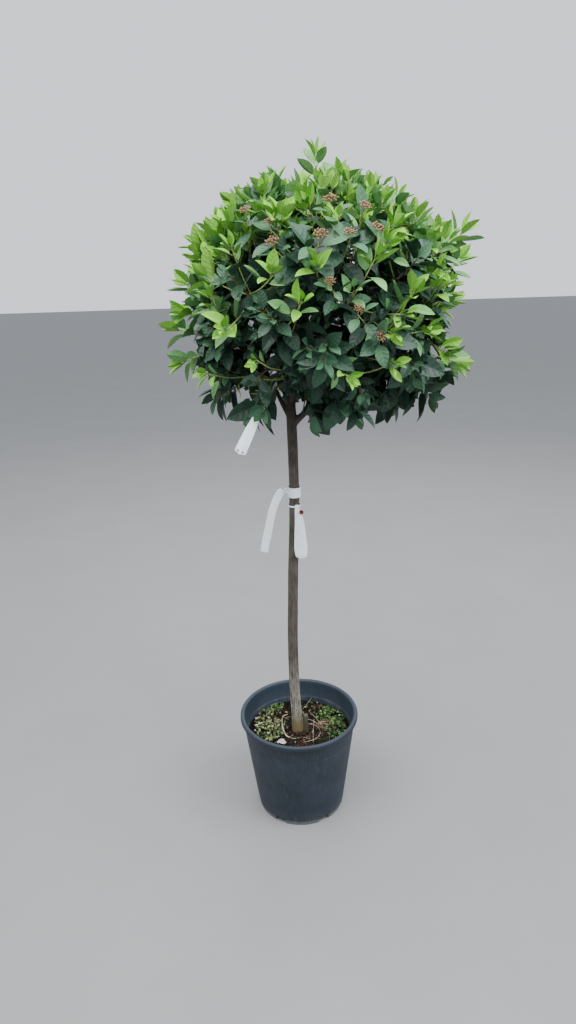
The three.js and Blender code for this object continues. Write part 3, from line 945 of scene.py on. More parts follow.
def growTwiglet(shoot):  # a short twig near the end of a side shoot, with small leaves
    number, forward = shoot["number"], shoot["forward"]
    foot = pointBack(shoot["path"], growth["twigletBack"])
    side = sideOf(forward, 360 * chance(number, 13))
    tip = foot + (forward * 0.6 + side * 0.8) * between(*growth["twigletLengths"], chance(number, 14))
    tip = heldInside(tip, 1, 0.8)
    twiglet = {
        "path": smoothThrough([foot, foot.lerp(tip, 0.5) - up * 0.002, tip], 2),
        "forward": (forward + side * 0.6 + up * 0.2).normalized(), "size": 0.76,
        "low": shoot["low"], "limit": shoot["limit"], "number": number + 30000, "order": shoot["order"] + 1,
    }
    twiglet["age"] = ageOf(twiglet)
    return twiglet


def makeTwigs():
    woody, green = [], []
    for name, line in boughLines.items():
        inside = smoothThrough([line[-2], line[-1], line[-1].lerp(sites[name], 1.1)], 3)
        woody.append(tapered(inside, massPlan[name][5], growth["twigRadii"][0]))
    thick, thin = growth["shootRadii"]
    for shoot in sideShoots + twiglets:
        if not inClearing(shoot["path"][-1]):
            more = 1.25 if shoot["age"] == "bright" else 1
            green.append(tapered(shoot["path"], thick * more, thin * more))
    thick, thin = growth["twigRadii"]
    for twig in twigs:
        path = twig["path"]
        if twig["age"] in ("bright", "fresh"):  # its last stretch is this year's green wood
            woody.append(tapered(path[:-4], thick, thin * 1.15))
            green.append(tapered(path[-5:], thin * 1.15, thin * 0.75))
        else:
            woody.append(tapered(path, thick, thin))
    return strandPiece("woodyTwigs", woody, 1), strandPiece("greenShoots", green, 1)


for shoot in twigs + sideShoots:
    shoot["age"] = ageOf(shoot)
for age, size, spots in markedShoots:
    markShoots(age, size, spots)
for shoot in sideShoots:
    if shoot["age"] == "bright" and not shoot.get("marked"):
        standOut(shoot)
twiglets = []
for shoot in sideShoots:
    bare = shoot.get("marked") or inThinPart(shoot["path"][0] - centre)
    if not bare and chance(shoot["number"], 15) < growth["twigletShare"]:
        twiglets.append(growTwiglet(shoot))
for shoot in twigs + sideShoots + twiglets:
    dress(shoot)
for twig in twigs:
    dressNodes(twig)

woodyTwigs, greenShoots = makeTwigs()
massNodes = ["leaves_" + name for name in massPlan]
brownTwig = stemMaterial("brownTwig", (0.035, 0.024, 0.015), (0.105, 0.078, 0.046), 0.7)
greenTwig = stemMaterial("greenTwig", (0.225, 0.3, 0.07), (0.48, 0.6, 0.19), 0.5)
finishPiece(woodyTwigs, [brownTwig], massNodes)
finishPiece(greenShoots, [greenTwig], massNodes)
print("twigs done", len(twigs), "twigs and", len(sideShoots), "side shoots")


def leafMaterial(name, colour, deeper, roughness, shine, veinColour=None):
    material = newMaterial(name, roughness, shine)
    even = ownCoordinates(material)
    cloudy = rising(noiseValue(even, 14, 3), 0.35, 0.65)
    speckled = noiseValue(even, 420, 3)
    mottled = layered(deeper, [(cloudy, colour), (product(speckled, 0.35), deeper)])
    if not veinColour:
        return finishMaterial(material, mottled, speckled, 0.2, 0.0004)
    across, along, _ = placeOf(addNode(material.node_tree, "UVMap", uv_map="place").outputs["UV"])
    fromRib = mathValue("ABSOLUTE", mathValue("SUBTRACT", across, 0.5))
    slant = mathValue("SUBTRACT", along, product(fromRib, 0.35))
    wave = mathValue("SINE", product(slant, 2 * math.pi * 7))  # seven veins a side
    veined = layered(mottled, [(product(rising(wave, 0.7, 1.0), 0.22), veinColour)])
    return finishMaterial(material, veined, product(wave, 0.5), 0.55, 0.0009)


# Colour of the upper side, its deeper tone, rib and underside, then roughness and shine
leafFinishes = {
    "deep": (
        (0.02, 0.058, 0.035), (0.01, 0.032, 0.019), (0.052, 0.094, 0.05),
        (0.052, 0.095, 0.055), 0.43, 0.3,
    ),
    "dark": (
        (0.03, 0.09, 0.049), (0.017, 0.053, 0.03), (0.075, 0.144, 0.068),
        (0.068, 0.127, 0.07), 0.42, 0.29,
    ),
    "mid": (
        (0.06, 0.156, 0.076), (0.036, 0.104, 0.05), (0.11, 0.212, 0.09),
        (0.092, 0.17, 0.082), 0.46, 0.22,
    ),
    "young": (
        (0.162, 0.35, 0.126), (0.11, 0.265, 0.092), (0.24, 0.42, 0.158),
        (0.19, 0.336, 0.13), 0.56, 0.14,
    ),
    "bright": (
        (0.206, 0.472, 0.054), (0.142, 0.362, 0.042), (0.32, 0.54, 0.114),
        (0.232, 0.424, 0.084), 0.54, 0.12,
    ),
}

leafShapes = {form: modelLeaf(form) for form in leaf["grownForms"] + leaf["youngForms"]}
for colour, places in leafPlaces.items():
    upper, deeper, rib, under, roughness, shine = leafFinishes[colour]
    piece = copiesPiece(colour + "Leaves", [leafShapes[form] for form in formsOf(colour)], places)
    smooth(piece, 55)
    finishPiece(piece, [
        leafMaterial(colour + "LeafTop", upper, deeper, roughness, shine, rib),
        leafMaterial(colour + "LeafRib", rib, upper, 0.45, shine),
        leafMaterial(colour + "LeafUnder", under, deeper, 0.6, shine * 0.8, rib),
    ], massNodes)
    print(piece.name, len(places), "leaves")

petioles = copiesPiece("leafStalks", [modelPetiole()], petiolePlaces)
stalkGreen = stemMaterial("stalkGreen", (0.09, 0.11, 0.03), (0.22, 0.23, 0.08), 0.5)
finishPiece(petioles, [stalkGreen], massNodes)


# Flower bud heads

bud = {
    "count": 22, "domeAngle": 66, "goldenTurn": 137.5, "stalk": 0.014, "ray": 0.0135, "rayRadius": 0.0005,
    "radius": 0.0019, "long": 1.3,
}


def budRay(i):  # buds spread over a dome
    lean = bud["domeAngle"] * math.sqrt((i + 0.5) / bud["count"])
    return heading(bud["goldenTurn"] * i, 90 - lean)


def makeBudKnob(i, crest):
    out = budRay(i)
    radius = bud["radius"]
    tip = crest + out * bud["ray"] * (0.85 + 0.3 * chance(i, 81))
    turn = out.to_track_quat("Z", "Y").to_euler()
    size = radius * (0.8 + 0.4 * chance(i, 82))
    deselectAll()
    bpy.ops.mesh.primitive_ico_sphere_add(subdivisions=1, radius=size, location=tip, rotation=turn)
    knob = started("knob", (1, 1, bud["long"]))
    narrow = (0.6, 0.6, 0.6)
    resizeWhere(knob, lambda point: (point - tip).dot(out) > radius * 0.7, narrow, tip + out * radius)
    return knob


def modelBudHead():
    crest = Vector((0, 0, bud["stalk"]))
    blooms = join([makeBudKnob(i, crest) for i in range(bud["count"])], "budKnobs")
    knobFaces = len(blooms.data.polygons)
    radius = bud["rayRadius"]
    strands = [tapered((Vector(), crest), radius * 1.8, radius * 1.8)]
    for i in range(0, bud["count"], 2):
        strands.append(tapered((crest, crest + budRay(i) * bud["ray"]), radius, radius))
    budHead = join([blooms, strandPiece("budRays", strands, 0)], "budHead")
    for i, polygon in enumerate(budHead.data.polygons):
        polygon.material_index = 0 if i < knobFaces else 1
    return asShape(budHead)


def budMaterial():
    material = newMaterial("budPink", 0.6)
    spots = noiseValue(ownCoordinates(material), 330, 2)
    colour = ramp(spots, [
        (0.36, (0.15, 0.058, 0.034)), (0.52, (0.255, 0.13, 0.075)), (0.68, (0.22, 0.2, 0.085)),
    ])
    return finishMaterial(material, colour, spots, 0.3, 0.0005)


budMatrices = []
for tip, forward, number in budPlaces:
    side = turned(squareTo(Vector((1, 0.1, 0)), forward), forward, 360 * chance(number, 90))
    budMatrices.append(placeAt(tip, side, forward.cross(side), forward, 0.85 + 0.35 * chance(number, 91)))
budHeads = copiesPiece("flowerBuds", [modelBudHead()], budMatrices)
budStalk = stemMaterial("budStalk", (0.16, 0.12, 0.05), (0.3, 0.24, 0.09), 0.6)
finishPiece(budHeads, [budMaterial(), budStalk], massNodes)
print("flower buds done", len(budPlaces), "heads")


# Nursery pot

pot = {
    "height": 0.309, "lipRadius": 0.175, "lipHeight": 0.014, "neckRadius": 0.167, "footRadius": 0.129,
    "wall": 0.003, "floorBottom": 0.012, "floorTop": 0.015, "padRadius": 0.042, "ringWidth": 0.016,
    "ledgeHeight": 0.252, "ledgeWidth": 0.0025, "notches": 6, "notchAngle": 16, "notchHeight": 0.015,
    "sides": 120,
    # the sloping wall: where it starts, how much less than the pot's height it takes up, and how far
    # it stands out from the foot, outside and inside
    "slopeStart": 0.014, "slopeLess": 0.03, "outerStep": 0.0022, "innerStep": 0.0015, "grooveShare": 0.79,
}


def outerRadius(z):
    share = (z - pot["slopeStart"]) / (pot["height"] - pot["slopeLess"])
    return between(pot["footRadius"] + pot["outerStep"], pot["neckRadius"], share)


def innerRadius(z):
    share = (z - pot["floorTop"]) / (pot["ledgeHeight"] - pot["floorTop"])
    low = pot["footRadius"] - pot["wall"] + pot["innerStep"]
    return between(low, outerRadius(pot["ledgeHeight"]) - pot["wall"] - pot["ledgeWidth"], share)


def lipProfile():  # the rolled lip: out under it, round its face and over the top
    lip, neck = pot["lipRadius"], pot["neckRadius"]
    bottom = pot["height"] - pot["lipHeight"]
    roll = pot["lipHeight"] * 0.42
    middle = (lip - roll, pot["height"] - roll)
    profile = [(neck, bottom - 0.003), (neck + 0.0008, bottom), (lip - 0.002, bottom), (lip, bottom + 0.0025)]
    for angle in (0, 22.5, 45, 67.5, 90, 115):
        turn = math.radians(angle)
        profile.append((middle[0] + roll * math.cos(turn), middle[1] + roll * math.sin(turn)))
    return profile


def potProfile():  # from the pad under the pot, up its outside, over the lip and down its inside
    foot = pot["footRadius"]
    ringInside = foot - pot["ringWidth"]
    groove = pot["height"] * pot["grooveShare"]
    profile = [
        (pot["padRadius"], 0), (pot["padRadius"] + 0.003, pot["floorBottom"]),
        (ringInside - 0.002, pot["floorBottom"]), (ringInside, 0.0004), (ringInside + 0.001, 0),
        (foot - 0.0018, 0), (foot - 0.0003, 0.0008), (foot, 0.0024),
        (foot + pot["outerStep"], pot["notchHeight"] + 0.003),
    ]
    for share in (0.2, 0.4, 0.6, 0.8):
        z = between(pot["slopeStart"], groove, share)
        profile.append((outerRadius(z), z))
    grooveRadius = outerRadius(groove)
    profile += [
        (grooveRadius, groove), (grooveRadius - 0.0011, groove + 0.0008),
        (grooveRadius + 0.0004, groove + 0.0024), (outerRadius(groove + 0.004), groove + 0.004),
    ]
    inside = pot["neckRadius"] - pot["wall"]
    ledge = pot["ledgeHeight"]
    aboveLedge = outerRadius(ledge) - pot["wall"]
    return profile + lipProfile() + [
        (inside - 0.0006, pot["height"] - 0.003), (inside - 0.0014, pot["height"] - 0.005),
        (inside - 0.0016, pot["height"] - pot["lipHeight"]),
        (aboveLedge, ledge + 0.003), (aboveLedge - 0.0008, ledge + 0.0016),
        (innerRadius(ledge) + 0.0003, ledge - 0.001), (innerRadius(ledge), ledge - 0.0026),
        (innerRadius(0.15), 0.15), (innerRadius(pot["floorTop"]), pot["floorTop"]),
    ]


def makeNotchCutter(turn):  # narrower at its rounded top
    outward, across = heading(turn, 0), heading(turn + 90, 0)
    wide = 2 * pot["footRadius"] * math.sin(math.radians(pot["notchAngle"] / 2))
    place = outward * (pot["footRadius"] - 0.006)
    deselectAll()
    bpy.ops.mesh.primitive_cube_add(size=1, location=place, rotation=(0, 0, math.radians(turn)))
    cutter = started("notchCutter", (0.04, wide, 2 * pot["notchHeight"]))
    narrow = Vector((1, 1, 1)) - Vector((abs(across.x), abs(across.y), 0)) * 0.14
    resizeWhere(cutter, lambda point: point.z > 0, narrow, outward * pot["footRadius"])
    modify(cutter, "BEVEL", width=0.004, segments=4)
    return cutter


def makePot():
    body = roundPiece("nurseryPot", potProfile(), pot["sides"])
    turns = [360 * i / pot["notches"] for i in range(pot["notches"])]
    cutAway(body, join([makeNotchCutter(turn) for turn in turns], "notchCutters"))
    smooth(body, 32)
    return body


def potMaterial():
    material = newMaterial("wornPlastic", 0.5, 0.34)
    even = ownCoordinates(material)
    cloudy = noiseValue(even, 9, 4)
    scuffs = noiseValue(ownCoordinates(material, (1, 1, 0.09)), 170, 6, 0.72)
    stains = rising(noiseValue(even, 24, 3), 0.4, 0.62)
    height = placeOf(even)[2]
    flat = ownCoordinates(material, (1, 1, 0))
    radius = addNode(flat.id_data, "VectorMath", {0: flat}, operation="LENGTH").outputs["Value"]
    top = pot["height"]
    slope = (outerRadius(top) - outerRadius(0)) / top
    fromCone = mathValue("SUBTRACT", radius, product(height, slope))
    outer = rising(radius, pot["neckRadius"] - 0.004, pot["neckRadius"])
    inner = falling(radius, 0.1592, 0.1602)

    dusty = product(rising(scuffs, 0.48, 0.72), 0.36)
    lip = product(rising(height, top - 0.0135, top - 0.011), outer, 0.7)
    rolled = rising(height, top - 0.0065, top - 0.0035)
    # painted highlight: the rounded top of the lip is painted lighter, where light glints on it
    paintedRimHighlight = product(rolled, outer, rising(cloudy, 0.1, 0.9))
    innerWall = product(falling(fromCone, outerRadius(-0.016), outerRadius(-0.008)), 0.6)
    tide = product(rising(height, 0.236, 0.244), inner, falling(height, 0.253, 0.258))
    tideLine = product(tide, stains, 0.6)
    shaded = product(falling(height, 0.045, 0.11), 0.55)
    splash = product(falling(height, 0.0, 0.055), rising(scuffs, 0.38, 0.62), 0.22)
    scraped = product(falling(height, 0.009, 0.015), rising(scuffs, 0.3, 0.48), 0.9)
    plain = ramp(cloudy, [(0.35, (0.01, 0.016, 0.025)), (0.65, (0.019, 0.028, 0.041))])
    colour = layered(plain, [
        (dusty, (0.072, 0.086, 0.105)), (lip, (0.013, 0.02, 0.031)), (paintedRimHighlight, (0.018, 0.028, 0.042)),
        (innerWall, (0.03, 0.045, 0.062)), (tideLine, (0.088, 0.084, 0.08)),
        (shaded, (0.011, 0.018, 0.031)), (splash, (0.2, 0.195, 0.18)), (scraped, (0.118, 0.132, 0.144)),
    ])
    setInput(shaderInput(material, "Roughness"), mathValue("ADD", 0.4, product(scuffs, 0.3)))
    relief = mathValue("ADD", product(noiseValue(even, 900, 2), 0.4), scuffs)
    return finishMaterial(material, colour, relief, 0.25, 0.0007)


finishPiece(makePot(), [potMaterial()], ["pot"])
print("pot done")


# Compost and what lies on it

compost = {
    "height": 0.245, "edgeHeight": 0.238, "level": 0.03, "wave": 0.016, "rings": 46, "sides": 150,
    "lump": 0.0034, "gap": 0.0003, "lean": 0.0002,
}


def soilLevel(x, y):
    edge = innerRadius(compost["edgeHeight"])
    rise = smoothStep(compost["level"], edge, math.hypot(x, y))
    wave = compost["wave"] * math.sin(x * 60 + 1) * math.cos(y * 50 - 0.6)
    return between(compost["height"], compost["edgeHeight"], rise) + wave * rise * (1 - rise)


def lumpAt(x, y):
    coarse = noise.fractal(Vector((x, y, 0.3)) * 55, 0.9, 2.1, 4)
    fine = noise.fractal(Vector((x, y, 1.7)) * 210, 0.9, 2.1, 3)
    return compost["lump"] * (0.8 * coarse + 0.5 * fine)


def surfaceAt(x, y):
    inEdge = smoothStep(0.004, 0.02, innerRadius(compost["edgeHeight"]) - math.hypot(x, y))
    return soilLevel(x, y) + lumpAt(x, y) * (0.4 + 0.6 * inEdge)


def makeCompost():
    rings, edgeHeight = compost["rings"], compost["edgeHeight"]
    bottom = pot["floorTop"] + compost["gap"]
    edge = innerRadius(edgeHeight) - compost["gap"] - compost["lean"]
    profile = [(innerRadius(bottom) - compost["gap"] - compost["lean"], bottom), (edge, edgeHeight)]
    for ring in range(1, rings + 1):
        profile.append((between(edge, 0.002, ring / rings), edgeHeight + 0.001))
    soil = roundPiece("compost", profile, compost["sides"])
    for vert in soil.data.vertices:
        if vert.co.z > edgeHeight - 0.001:
            vert.co.z = surfaceAt(vert.co.x, vert.co.y)
    smooth(soil, 60)
    return soil


def compostMaterial():
    material = newMaterial("dampCompost", 0.95, 0.08)
    even = ownCoordinates(material)
    crumbs = noiseValue(even, 260, 6, 0.7)
    bare = ramp(crumbs, [
        (0.34, (0.002, 0.0015, 0.0015)), (0.54, (0.006, 0.0045, 0.004)),
        (0.66, (0.018, 0.013, 0.01)), (0.78, (0.08, 0.062, 0.045)),
    ])
    mossy = product(rising(noiseValue(even, 26, 4), 0.52, 0.66), 0.35)
    colour = layered(bare, [(mossy, (0.036, 0.046, 0.013))])
    return finishMaterial(material, colour, crumbs, 0.9, 0.0025)


finishPiece(makeCompost(), [compostMaterial()], ["soil"])


def scatterPoint(item, use, inner, outer):
    radius = math.sqrt(between(inner**2, outer**2, chance(item, use)))
    turn = 2 * math.pi * chance(item, use + 1)
    return radius * math.cos(turn), radius * math.sin(turn)


def tumbled(item, use, x, y, lift, tilt, size):  # a place on the compost, turned and tilted by chance
    spin = Quaternion((0, 0, 1), 2 * math.pi * chance(item, use + 2))
    turn = spin @ Quaternion((1, 0, 0), tilt * (chance(item, use + 3) - 0.5))
    axes = [turn @ Vector(axis) for axis in ((1, 0, 0), (0, 1, 0), (0, 0, 1))]
    return placeAt(Vector((x, y, surfaceAt(x, y) + lift)), *axes, size)


def strewn(count, use, inner, low, high, lift):
    places = []
    for item in range(count):
        x, y = scatterPoint(item, use, inner, soilEdge)
        size = between(low, high, chance(item, use + 4)**2)
        places.append(tumbled(item, use, x, y, lift * size, 0.7, size))
    return places


def modelLump(scale, bevel, seed):  # a chip or a stone with broken edges
    deselectAll()
    bpy.ops.mesh.primitive_cube_add(size=1)
    lump = started("lump", scale)
    modify(lump, "BEVEL", width=bevel, segments=1)
    for i, vert in enumerate(lump.data.vertices):
        push = Vector([chance(i, seed + use) for use in range(3)]) - Vector((0.5, 0.5, 0.5))
        vert.co += push * min(scale) * 0.45
    return asShape(lump)


soilEdge = innerRadius(compost["edgeHeight"]) - 0.008
chipShapes = [
    modelLump((0.014, 0.0055, 0.0028), 0.0012, 301),
    modelLump((0.009, 0.006, 0.0035), 0.0013, 311),
    modelLump((0.018, 0.0035, 0.0024), 0.0008, 321),
]
chips = copiesPiece("barkChips", chipShapes, strewn(420, 330, 0.026, 0.4, 1.25, 0.0012))
smooth(chips)

stoneShapes = [
    modelLump((0.009, 0.0075, 0.006), 0.0026, 341),
    modelLump((0.011, 0.008, 0.006), 0.0024, 351),
]
largeStones = [  # x, y and size
    (-0.054, -0.066, 2.6), (-0.129, 0.063, 1.2), (-0.131, 0.03, 1.1), (-0.118, 0.033, 1.0),
    (-0.121, 0.005, 0.8),
]
stonePlaces = strewn(20, 360, 0.03, 0.35, 0.9, 0.002)
for x, y, size in largeStones:
    spot = Vector((x, y, surfaceAt(x, y) + 0.003))
    stonePlaces.append(placeAt(spot, (0.98, 0.2, 0), (-0.2, 0.98, 0), (0, 0, 0.6), size))
stones = copiesPiece("gritStones", stoneShapes, stonePlaces)
smooth(stones, 50)


# Low growth: each kind's seed, then each patch's middle, its radius and the number of sprigs
lowGrowth = {
    "freshGrowth": (411, [
        (0.095, 0.062, 0.046, 118), (0.114, 0.0, 0.036, 64), (0.108, -0.038, 0.02, 22),
        (-0.085, 0.122, 0.038, 98),
    ]),
    "paleGrowth": (441, [
        (-0.104, 0.066, 0.046, 62), (-0.084, 0.0, 0.048, 118), (-0.096, -0.034, 0.016, 22),
        (0.04, 0.105, 0.04, 18),
    ]),
}


def modelSprig():  # a low sprig with a few small round leaves
    blades = []
    for i in range(7):
        deselectAll()
        bpy.ops.mesh.primitive_grid_add(x_subdivisions=2, y_subdivisions=3, size=1, location=(0, 0.5, 0))
        blade = started("blade")
        edit(blade)
        for row, wide in enumerate((0.2, 0.8, 1.0, 0.25)):
            here = row / 3
            selectWhere(blade, lambda point: abs(point.y - here) < 0.01)
            bpy.ops.transform.resize(value=(wide * 0.62, 1, 1), center_override=(0, here, 0))
            bpy.ops.transform.translate(value=(0, 0, 0.35 * here - 0.45 * here**2))
        endEdit()
        moveWhere(blade, lambda point: abs(point.x) < 0.001, (0, 0, -0.07))
        long = 0.0036 + 0.0026 * chance(i, 401)
        blade.scale = (long, long, long)
        blade.rotation_euler = (math.radians(20 + 34 * chance(i, 402)), 0, math.radians(i * 137.5))
        blade.location = (0, 0, 0.0008 * i)
        applyPlace(blade)
        blades.append(blade)
    return asShape(join(blades, "sprig"))


def sprigPlaces(use, patches):
    places = []
    item = 0
    for middleX, middleY, radius, count in patches:
        for i in range(count):
            item += 1
            x, y = scatterPoint(item, use, 0, radius)
            inward = 1 - math.hypot(x, y) / radius
            x, y = x + middleX, y + middleY
            if 0.034 <= math.hypot(x, y) <= soilEdge:
                lift = 0.001 + 0.013 * chance(item, use + 4) * inward
                size = between(0.6, 1.32, chance(item, use + 5))
                places.append(tumbled(item, use, x, y, lift, 0.8, size))
    return places


sprigShape = modelSprig()
for name, kind in lowGrowth.items():
    copiesPiece(name, [sprigShape], sprigPlaces(*kind))


litter = {
    "rootPaths": [  # points over the compost: x, y and how far the root lifts off it
        [
            (-0.036, 0.066, 0.002), (-0.049, 0.045, 0.01), (-0.052, 0.015, 0.013), (-0.048, -0.018, 0.008),
            (-0.038, -0.042, 0.002), (-0.018, -0.048, 0), (0.006, -0.046, 0.001), (0.032, -0.05, 0),
        ],
        [
            (0.022, 0.02, 0), (0.046, 0.012, 0.004), (0.062, -0.018, 0.002), (0.048, -0.052, 0),
            (0.014, -0.064, 0),
        ],
    ],
    "rootRadii": [0.0021, 0.0014],
    "stalkPaths": [  # pale dead stalks, in the same way
        [(0.035, 0.068, 0.006), (0.051, 0.038, 0.01), (0.067, 0.005, 0.006), (0.083, -0.016, 0)],
        [(0.046, 0.042, 0.004), (0.043, -0.001, 0.009), (0.04, -0.035, 0.006), (0.039, -0.068, 0)],
        [(0.007, 0.09, 0), (0.022, 0.091, 0.02), (0.042, 0.089, 0.048)],
        [(0.02, 0.047, 0.002), (0.05, 0.017, 0.007), (0.072, -0.009, 0.002), (0.096, -0.016, 0)],
        [(-0.107, 0.072, 0.002), (-0.081, 0.093, 0.008), (-0.058, 0.092, 0.002)],
        [(-0.112, 0.034, 0.004), (-0.088, 0.022, 0.01), (-0.066, 0.008, 0.006), (-0.052, -0.006, 0)],
    ],
    "stalkRadius": 0.0007, "uprights": 9,
    # where thin roots and stalks lie across each other: x, y, radius and how many
    "tangles": [
        (0.004, -0.056, 0.034, 50), (0.072, 0.004, 0.042, 56), (-0.086, 0.05, 0.048, 22),
        (0.03, 0.095, 0.034, 16),
    ],
}


def overSoil(path, thick, ends):  # a strand over the compost, thinner at its two ends
    points = [(x, y, surfaceAt(x, y) + thick + lift) for x, y, lift in path]
    return tapered(smoothThrough(points, 6), thick * ends[0], thick, thick * ends[1])


def paleStrands():  # roots round the stem's foot and the longest dead stalks
    roots = zip(litter["rootPaths"], litter["rootRadii"])
    stalks = [overSoil(path, litter["stalkRadius"], (0.9, 0.5)) for path in litter["stalkPaths"]]
    return [overSoil(path, thick, (1, 0.6)) for path, thick in roots] + stalks


def uprightStrand(item):  # a thin dead twig that leans up behind the stem
    foot = Vector((0.03 + 0.04 * chance(item, 431), 0.05 + 0.05 * chance(item, 432), 0))
    foot.z = surfaceAt(foot.x, foot.y)
    lean = heading(360 * chance(item, 433), 0) * 0.03 + up * between(0.016, 0.042, chance(item, 434))
    path = smoothThrough([foot, foot + lean * 0.5 + up * 0.004, foot + lean], 4)
    return tapered(path, 0.0008, 0.0004)


def tangledStrand(item, middle):
    lie = heading(360 * chance(item, 423), 0) * between(0.01, 0.04, chance(item, 424))
    arch = 0.012 * chance(item, 425)
    points = []
    for share in (-1, 0.2, 1):
        bow = lie.cross(up) * 0.16 * (chance(item, 426) - 0.5) * (1 - share**2)
        spot = middle + lie * share + bow
        if math.hypot(spot.x, spot.y) > soilEdge:
            spot *= soilEdge / math.hypot(spot.x, spot.y)
        points.append((spot.x, spot.y, surfaceAt(spot.x, spot.y) + 0.001 + arch * (1 - share**2)))
    thick = between(0.0004, 0.0009, chance(item, 427)**2)
    return tapered(smoothThrough(points, 3), thick, thick * 0.9, thick * 0.5)


def rootStrands():
    strands = [uprightStrand(item) for item in range(litter["uprights"])]
    item = 0
    for x, y, radius, count in litter["tangles"]:
        for i in range(count):
            across, back = scatterPoint(item, 421, 0, radius)
            strands.append(tangledStrand(item, Vector((x + across, y + back, 0))))
            item += 1
    return strands


strandPiece("dryRoots", rootStrands(), 1)
strandPiece("paleRoots", paleStrands(), 1)

# What lies on the compost: each piece's material, roughness, noise scale and colours
litterFinishes = {
    "barkChips": ("barkChip", 0.85, 40, [
        (0.44, (0.004, 0.003, 0.003)), (0.56, (0.02, 0.014, 0.01)), (0.66, (0.2, 0.15, 0.1)),
    ]),
    "gritStones": ("paleGrit", 0.8, 60, [
        (0.35, (0.3, 0.27, 0.22)), (0.55, (0.52, 0.49, 0.42)), (0.7, (0.68, 0.66, 0.6)),
    ]),
    "freshGrowth": ("freshGreen", 0.5, 95, [
        (0.4, (0.012, 0.036, 0.01)), (0.52, (0.06, 0.135, 0.034)), (0.64, (0.2, 0.32, 0.095)),
    ]),
    "paleGrowth": ("paleGreen", 0.6, 80, [
        (0.38, (0.022, 0.044, 0.016)), (0.52, (0.125, 0.16, 0.06)), (0.64, (0.34, 0.38, 0.17)),
    ]),
    "dryRoots": ("dryRoot", 0.8, 34, [
        (0.42, (0.016, 0.009, 0.007)), (0.56, (0.08, 0.042, 0.027)), (0.68, (0.3, 0.225, 0.14)),
    ]),
    "paleRoots": ("paleRoot", 0.7, 30, [
        (0.34, (0.15, 0.11, 0.07)), (0.52, (0.37, 0.32, 0.23)), (0.66, (0.52, 0.48, 0.38)),
    ]),
}
for name, finish in litterFinishes.items():
    finishPiece(bpy.data.objects[name], [speckMaterial(*finish)])
print("compost done")


# Blank paper labels

label = {
    "thickness": 0.0008, "across": Vector((1, -0.1, 0.3)), "curl": 0.0016,
    "bandHeight": 0.995, "bandWidth": 0.027, "bandRadius": 0.0172, "tieHeight": 0.957, "tieWidth": 0.004,
    "bandTail": [
        (-7, -9, 1003), (-28, -11, 1002), (-43, -12, 980), (-56, -14, 946), (-67, -12, 900), (-83, -8, 828),
    ],
    "bandTailWidths": [20, 20, 21, 21, 21, 21],
    "tag": [
        (9, -11.5, 962), (11, -15, 944), (15, -18, 922), (17, -19, 878), (18, -19, 840),
        (18.5, -19, 809),
    ],
    "tagWidths": [9, 14, 23, 31, 36, 30],
    "leafTag": [
        (-5, -108, 1330), (-42, -125, 1290), (-76, -160, 1243), (-91, -188, 1218), (-107, -200, 1187),
        (-123, -205, 1156),
    ],
    "leafTagWidths": [8, 10, 21, 25, 27, 28],
    "holeRadius": 0.0029, "holeBack": 0.007, "holeAside": 0.006,
    "clip": (0.0215, -0.0205, 0.944), "clipRadius": 0.0058, "clipDepth": 0.004,
}


def makeStrip(name, path, rounded):  # its corners are rounded within a length of its end
    widths = label[path + "Widths"]
    line = smoothThrough([Vector(point) / 1000 for point in label[path]], 8)
    rows = len(line) - 1
    deselectAll()
    bpy.ops.mesh.primitive_grid_add(x_subdivisions=4, y_subdivisions=rows, size=1)
    strip = started(name)
    for vert in strip.data.vertices:
        share = vert.co.y + 0.5
        row = round(share * rows)
        along = (line[min(row + 1, rows)] - line[max(row - 1, 0)]).normalized()
        side = squareTo(label["across"], along)
        width = float(np.interp(share * (len(widths) - 1), range(len(widths)), widths)) / 1000
        fromEnd = (line[rows] - line[row]).length
        if rounded and fromEnd < rounded:
            width *= math.sqrt(1 - (1 - fromEnd / rounded)**2) * 0.95 + 0.05
        curl = side.cross(along) * label["curl"] * (4 * vert.co.x**2)
        vert.co = line[row] + side * vert.co.x * width + curl
    modify(strip, "SOLIDIFY", thickness=label["thickness"], offset=0)
    smooth(strip)
    return strip


def makeRing(height, width):  # paper never lies quite round
    x, y, _ = pointAtHeight(stemLine, height)
    deselectAll()
    bpy.ops.mesh.primitive_cylinder_add(
        vertices=48, radius=label["bandRadius"], depth=width, location=(x, y, height),
        end_fill_type="NOTHING",
    )
    ring = started("ring")
    resizeWhere(ring, lambda point: point.x > x, (1.03, 0.98, 1), (x, y, height))
    modify(ring, "SOLIDIFY", thickness=label["thickness"])
    smooth(ring)
    return ring


def punchHoles(strip):  # two holes side by side near its hanging end
    before, end = [Vector(point) / 1000 for point in label["leafTag"][-2:]]
    down = (end - before).normalized()
    side = squareTo(label["across"], down)
    middle = end - down * label["holeBack"]
    turn = side.cross(down).to_track_quat("Z", "Y").to_euler()
    for place in (middle + side * label["holeAside"], middle - side * label["holeAside"]):
        deselectAll()
        bpy.ops.mesh.primitive_cylinder_add(
            vertices=20, radius=label["holeRadius"], depth=0.02, location=place, rotation=turn,
        )
        cutAway(strip, started("punch"))


def makeClip():  # the small round fastener at the top of the stem's tag, dished inside a low rim
    deselectAll()
    bpy.ops.mesh.primitive_cylinder_add(
        vertices=28, radius=label["clipRadius"], depth=label["clipDepth"], location=label["clip"],
        rotation=(math.radians(90), 0, 0),
    )
    clip = started("tagClip")
    edit(clip)
    bpy.ops.mesh.select_mode(type="FACE")
    mesh = bmesh.from_edit_mesh(clip.data)
    for face in mesh.faces:
        face.select_set(face.normal.y < -0.9)
    bmesh.update_edit_mesh(clip.data)
    bpy.ops.mesh.inset(thickness=0.0011, depth=-0.0007)
    endEdit()
    modify(clip, "BEVEL", width=0.0004, segments=2)
    smooth(clip)
    return clip


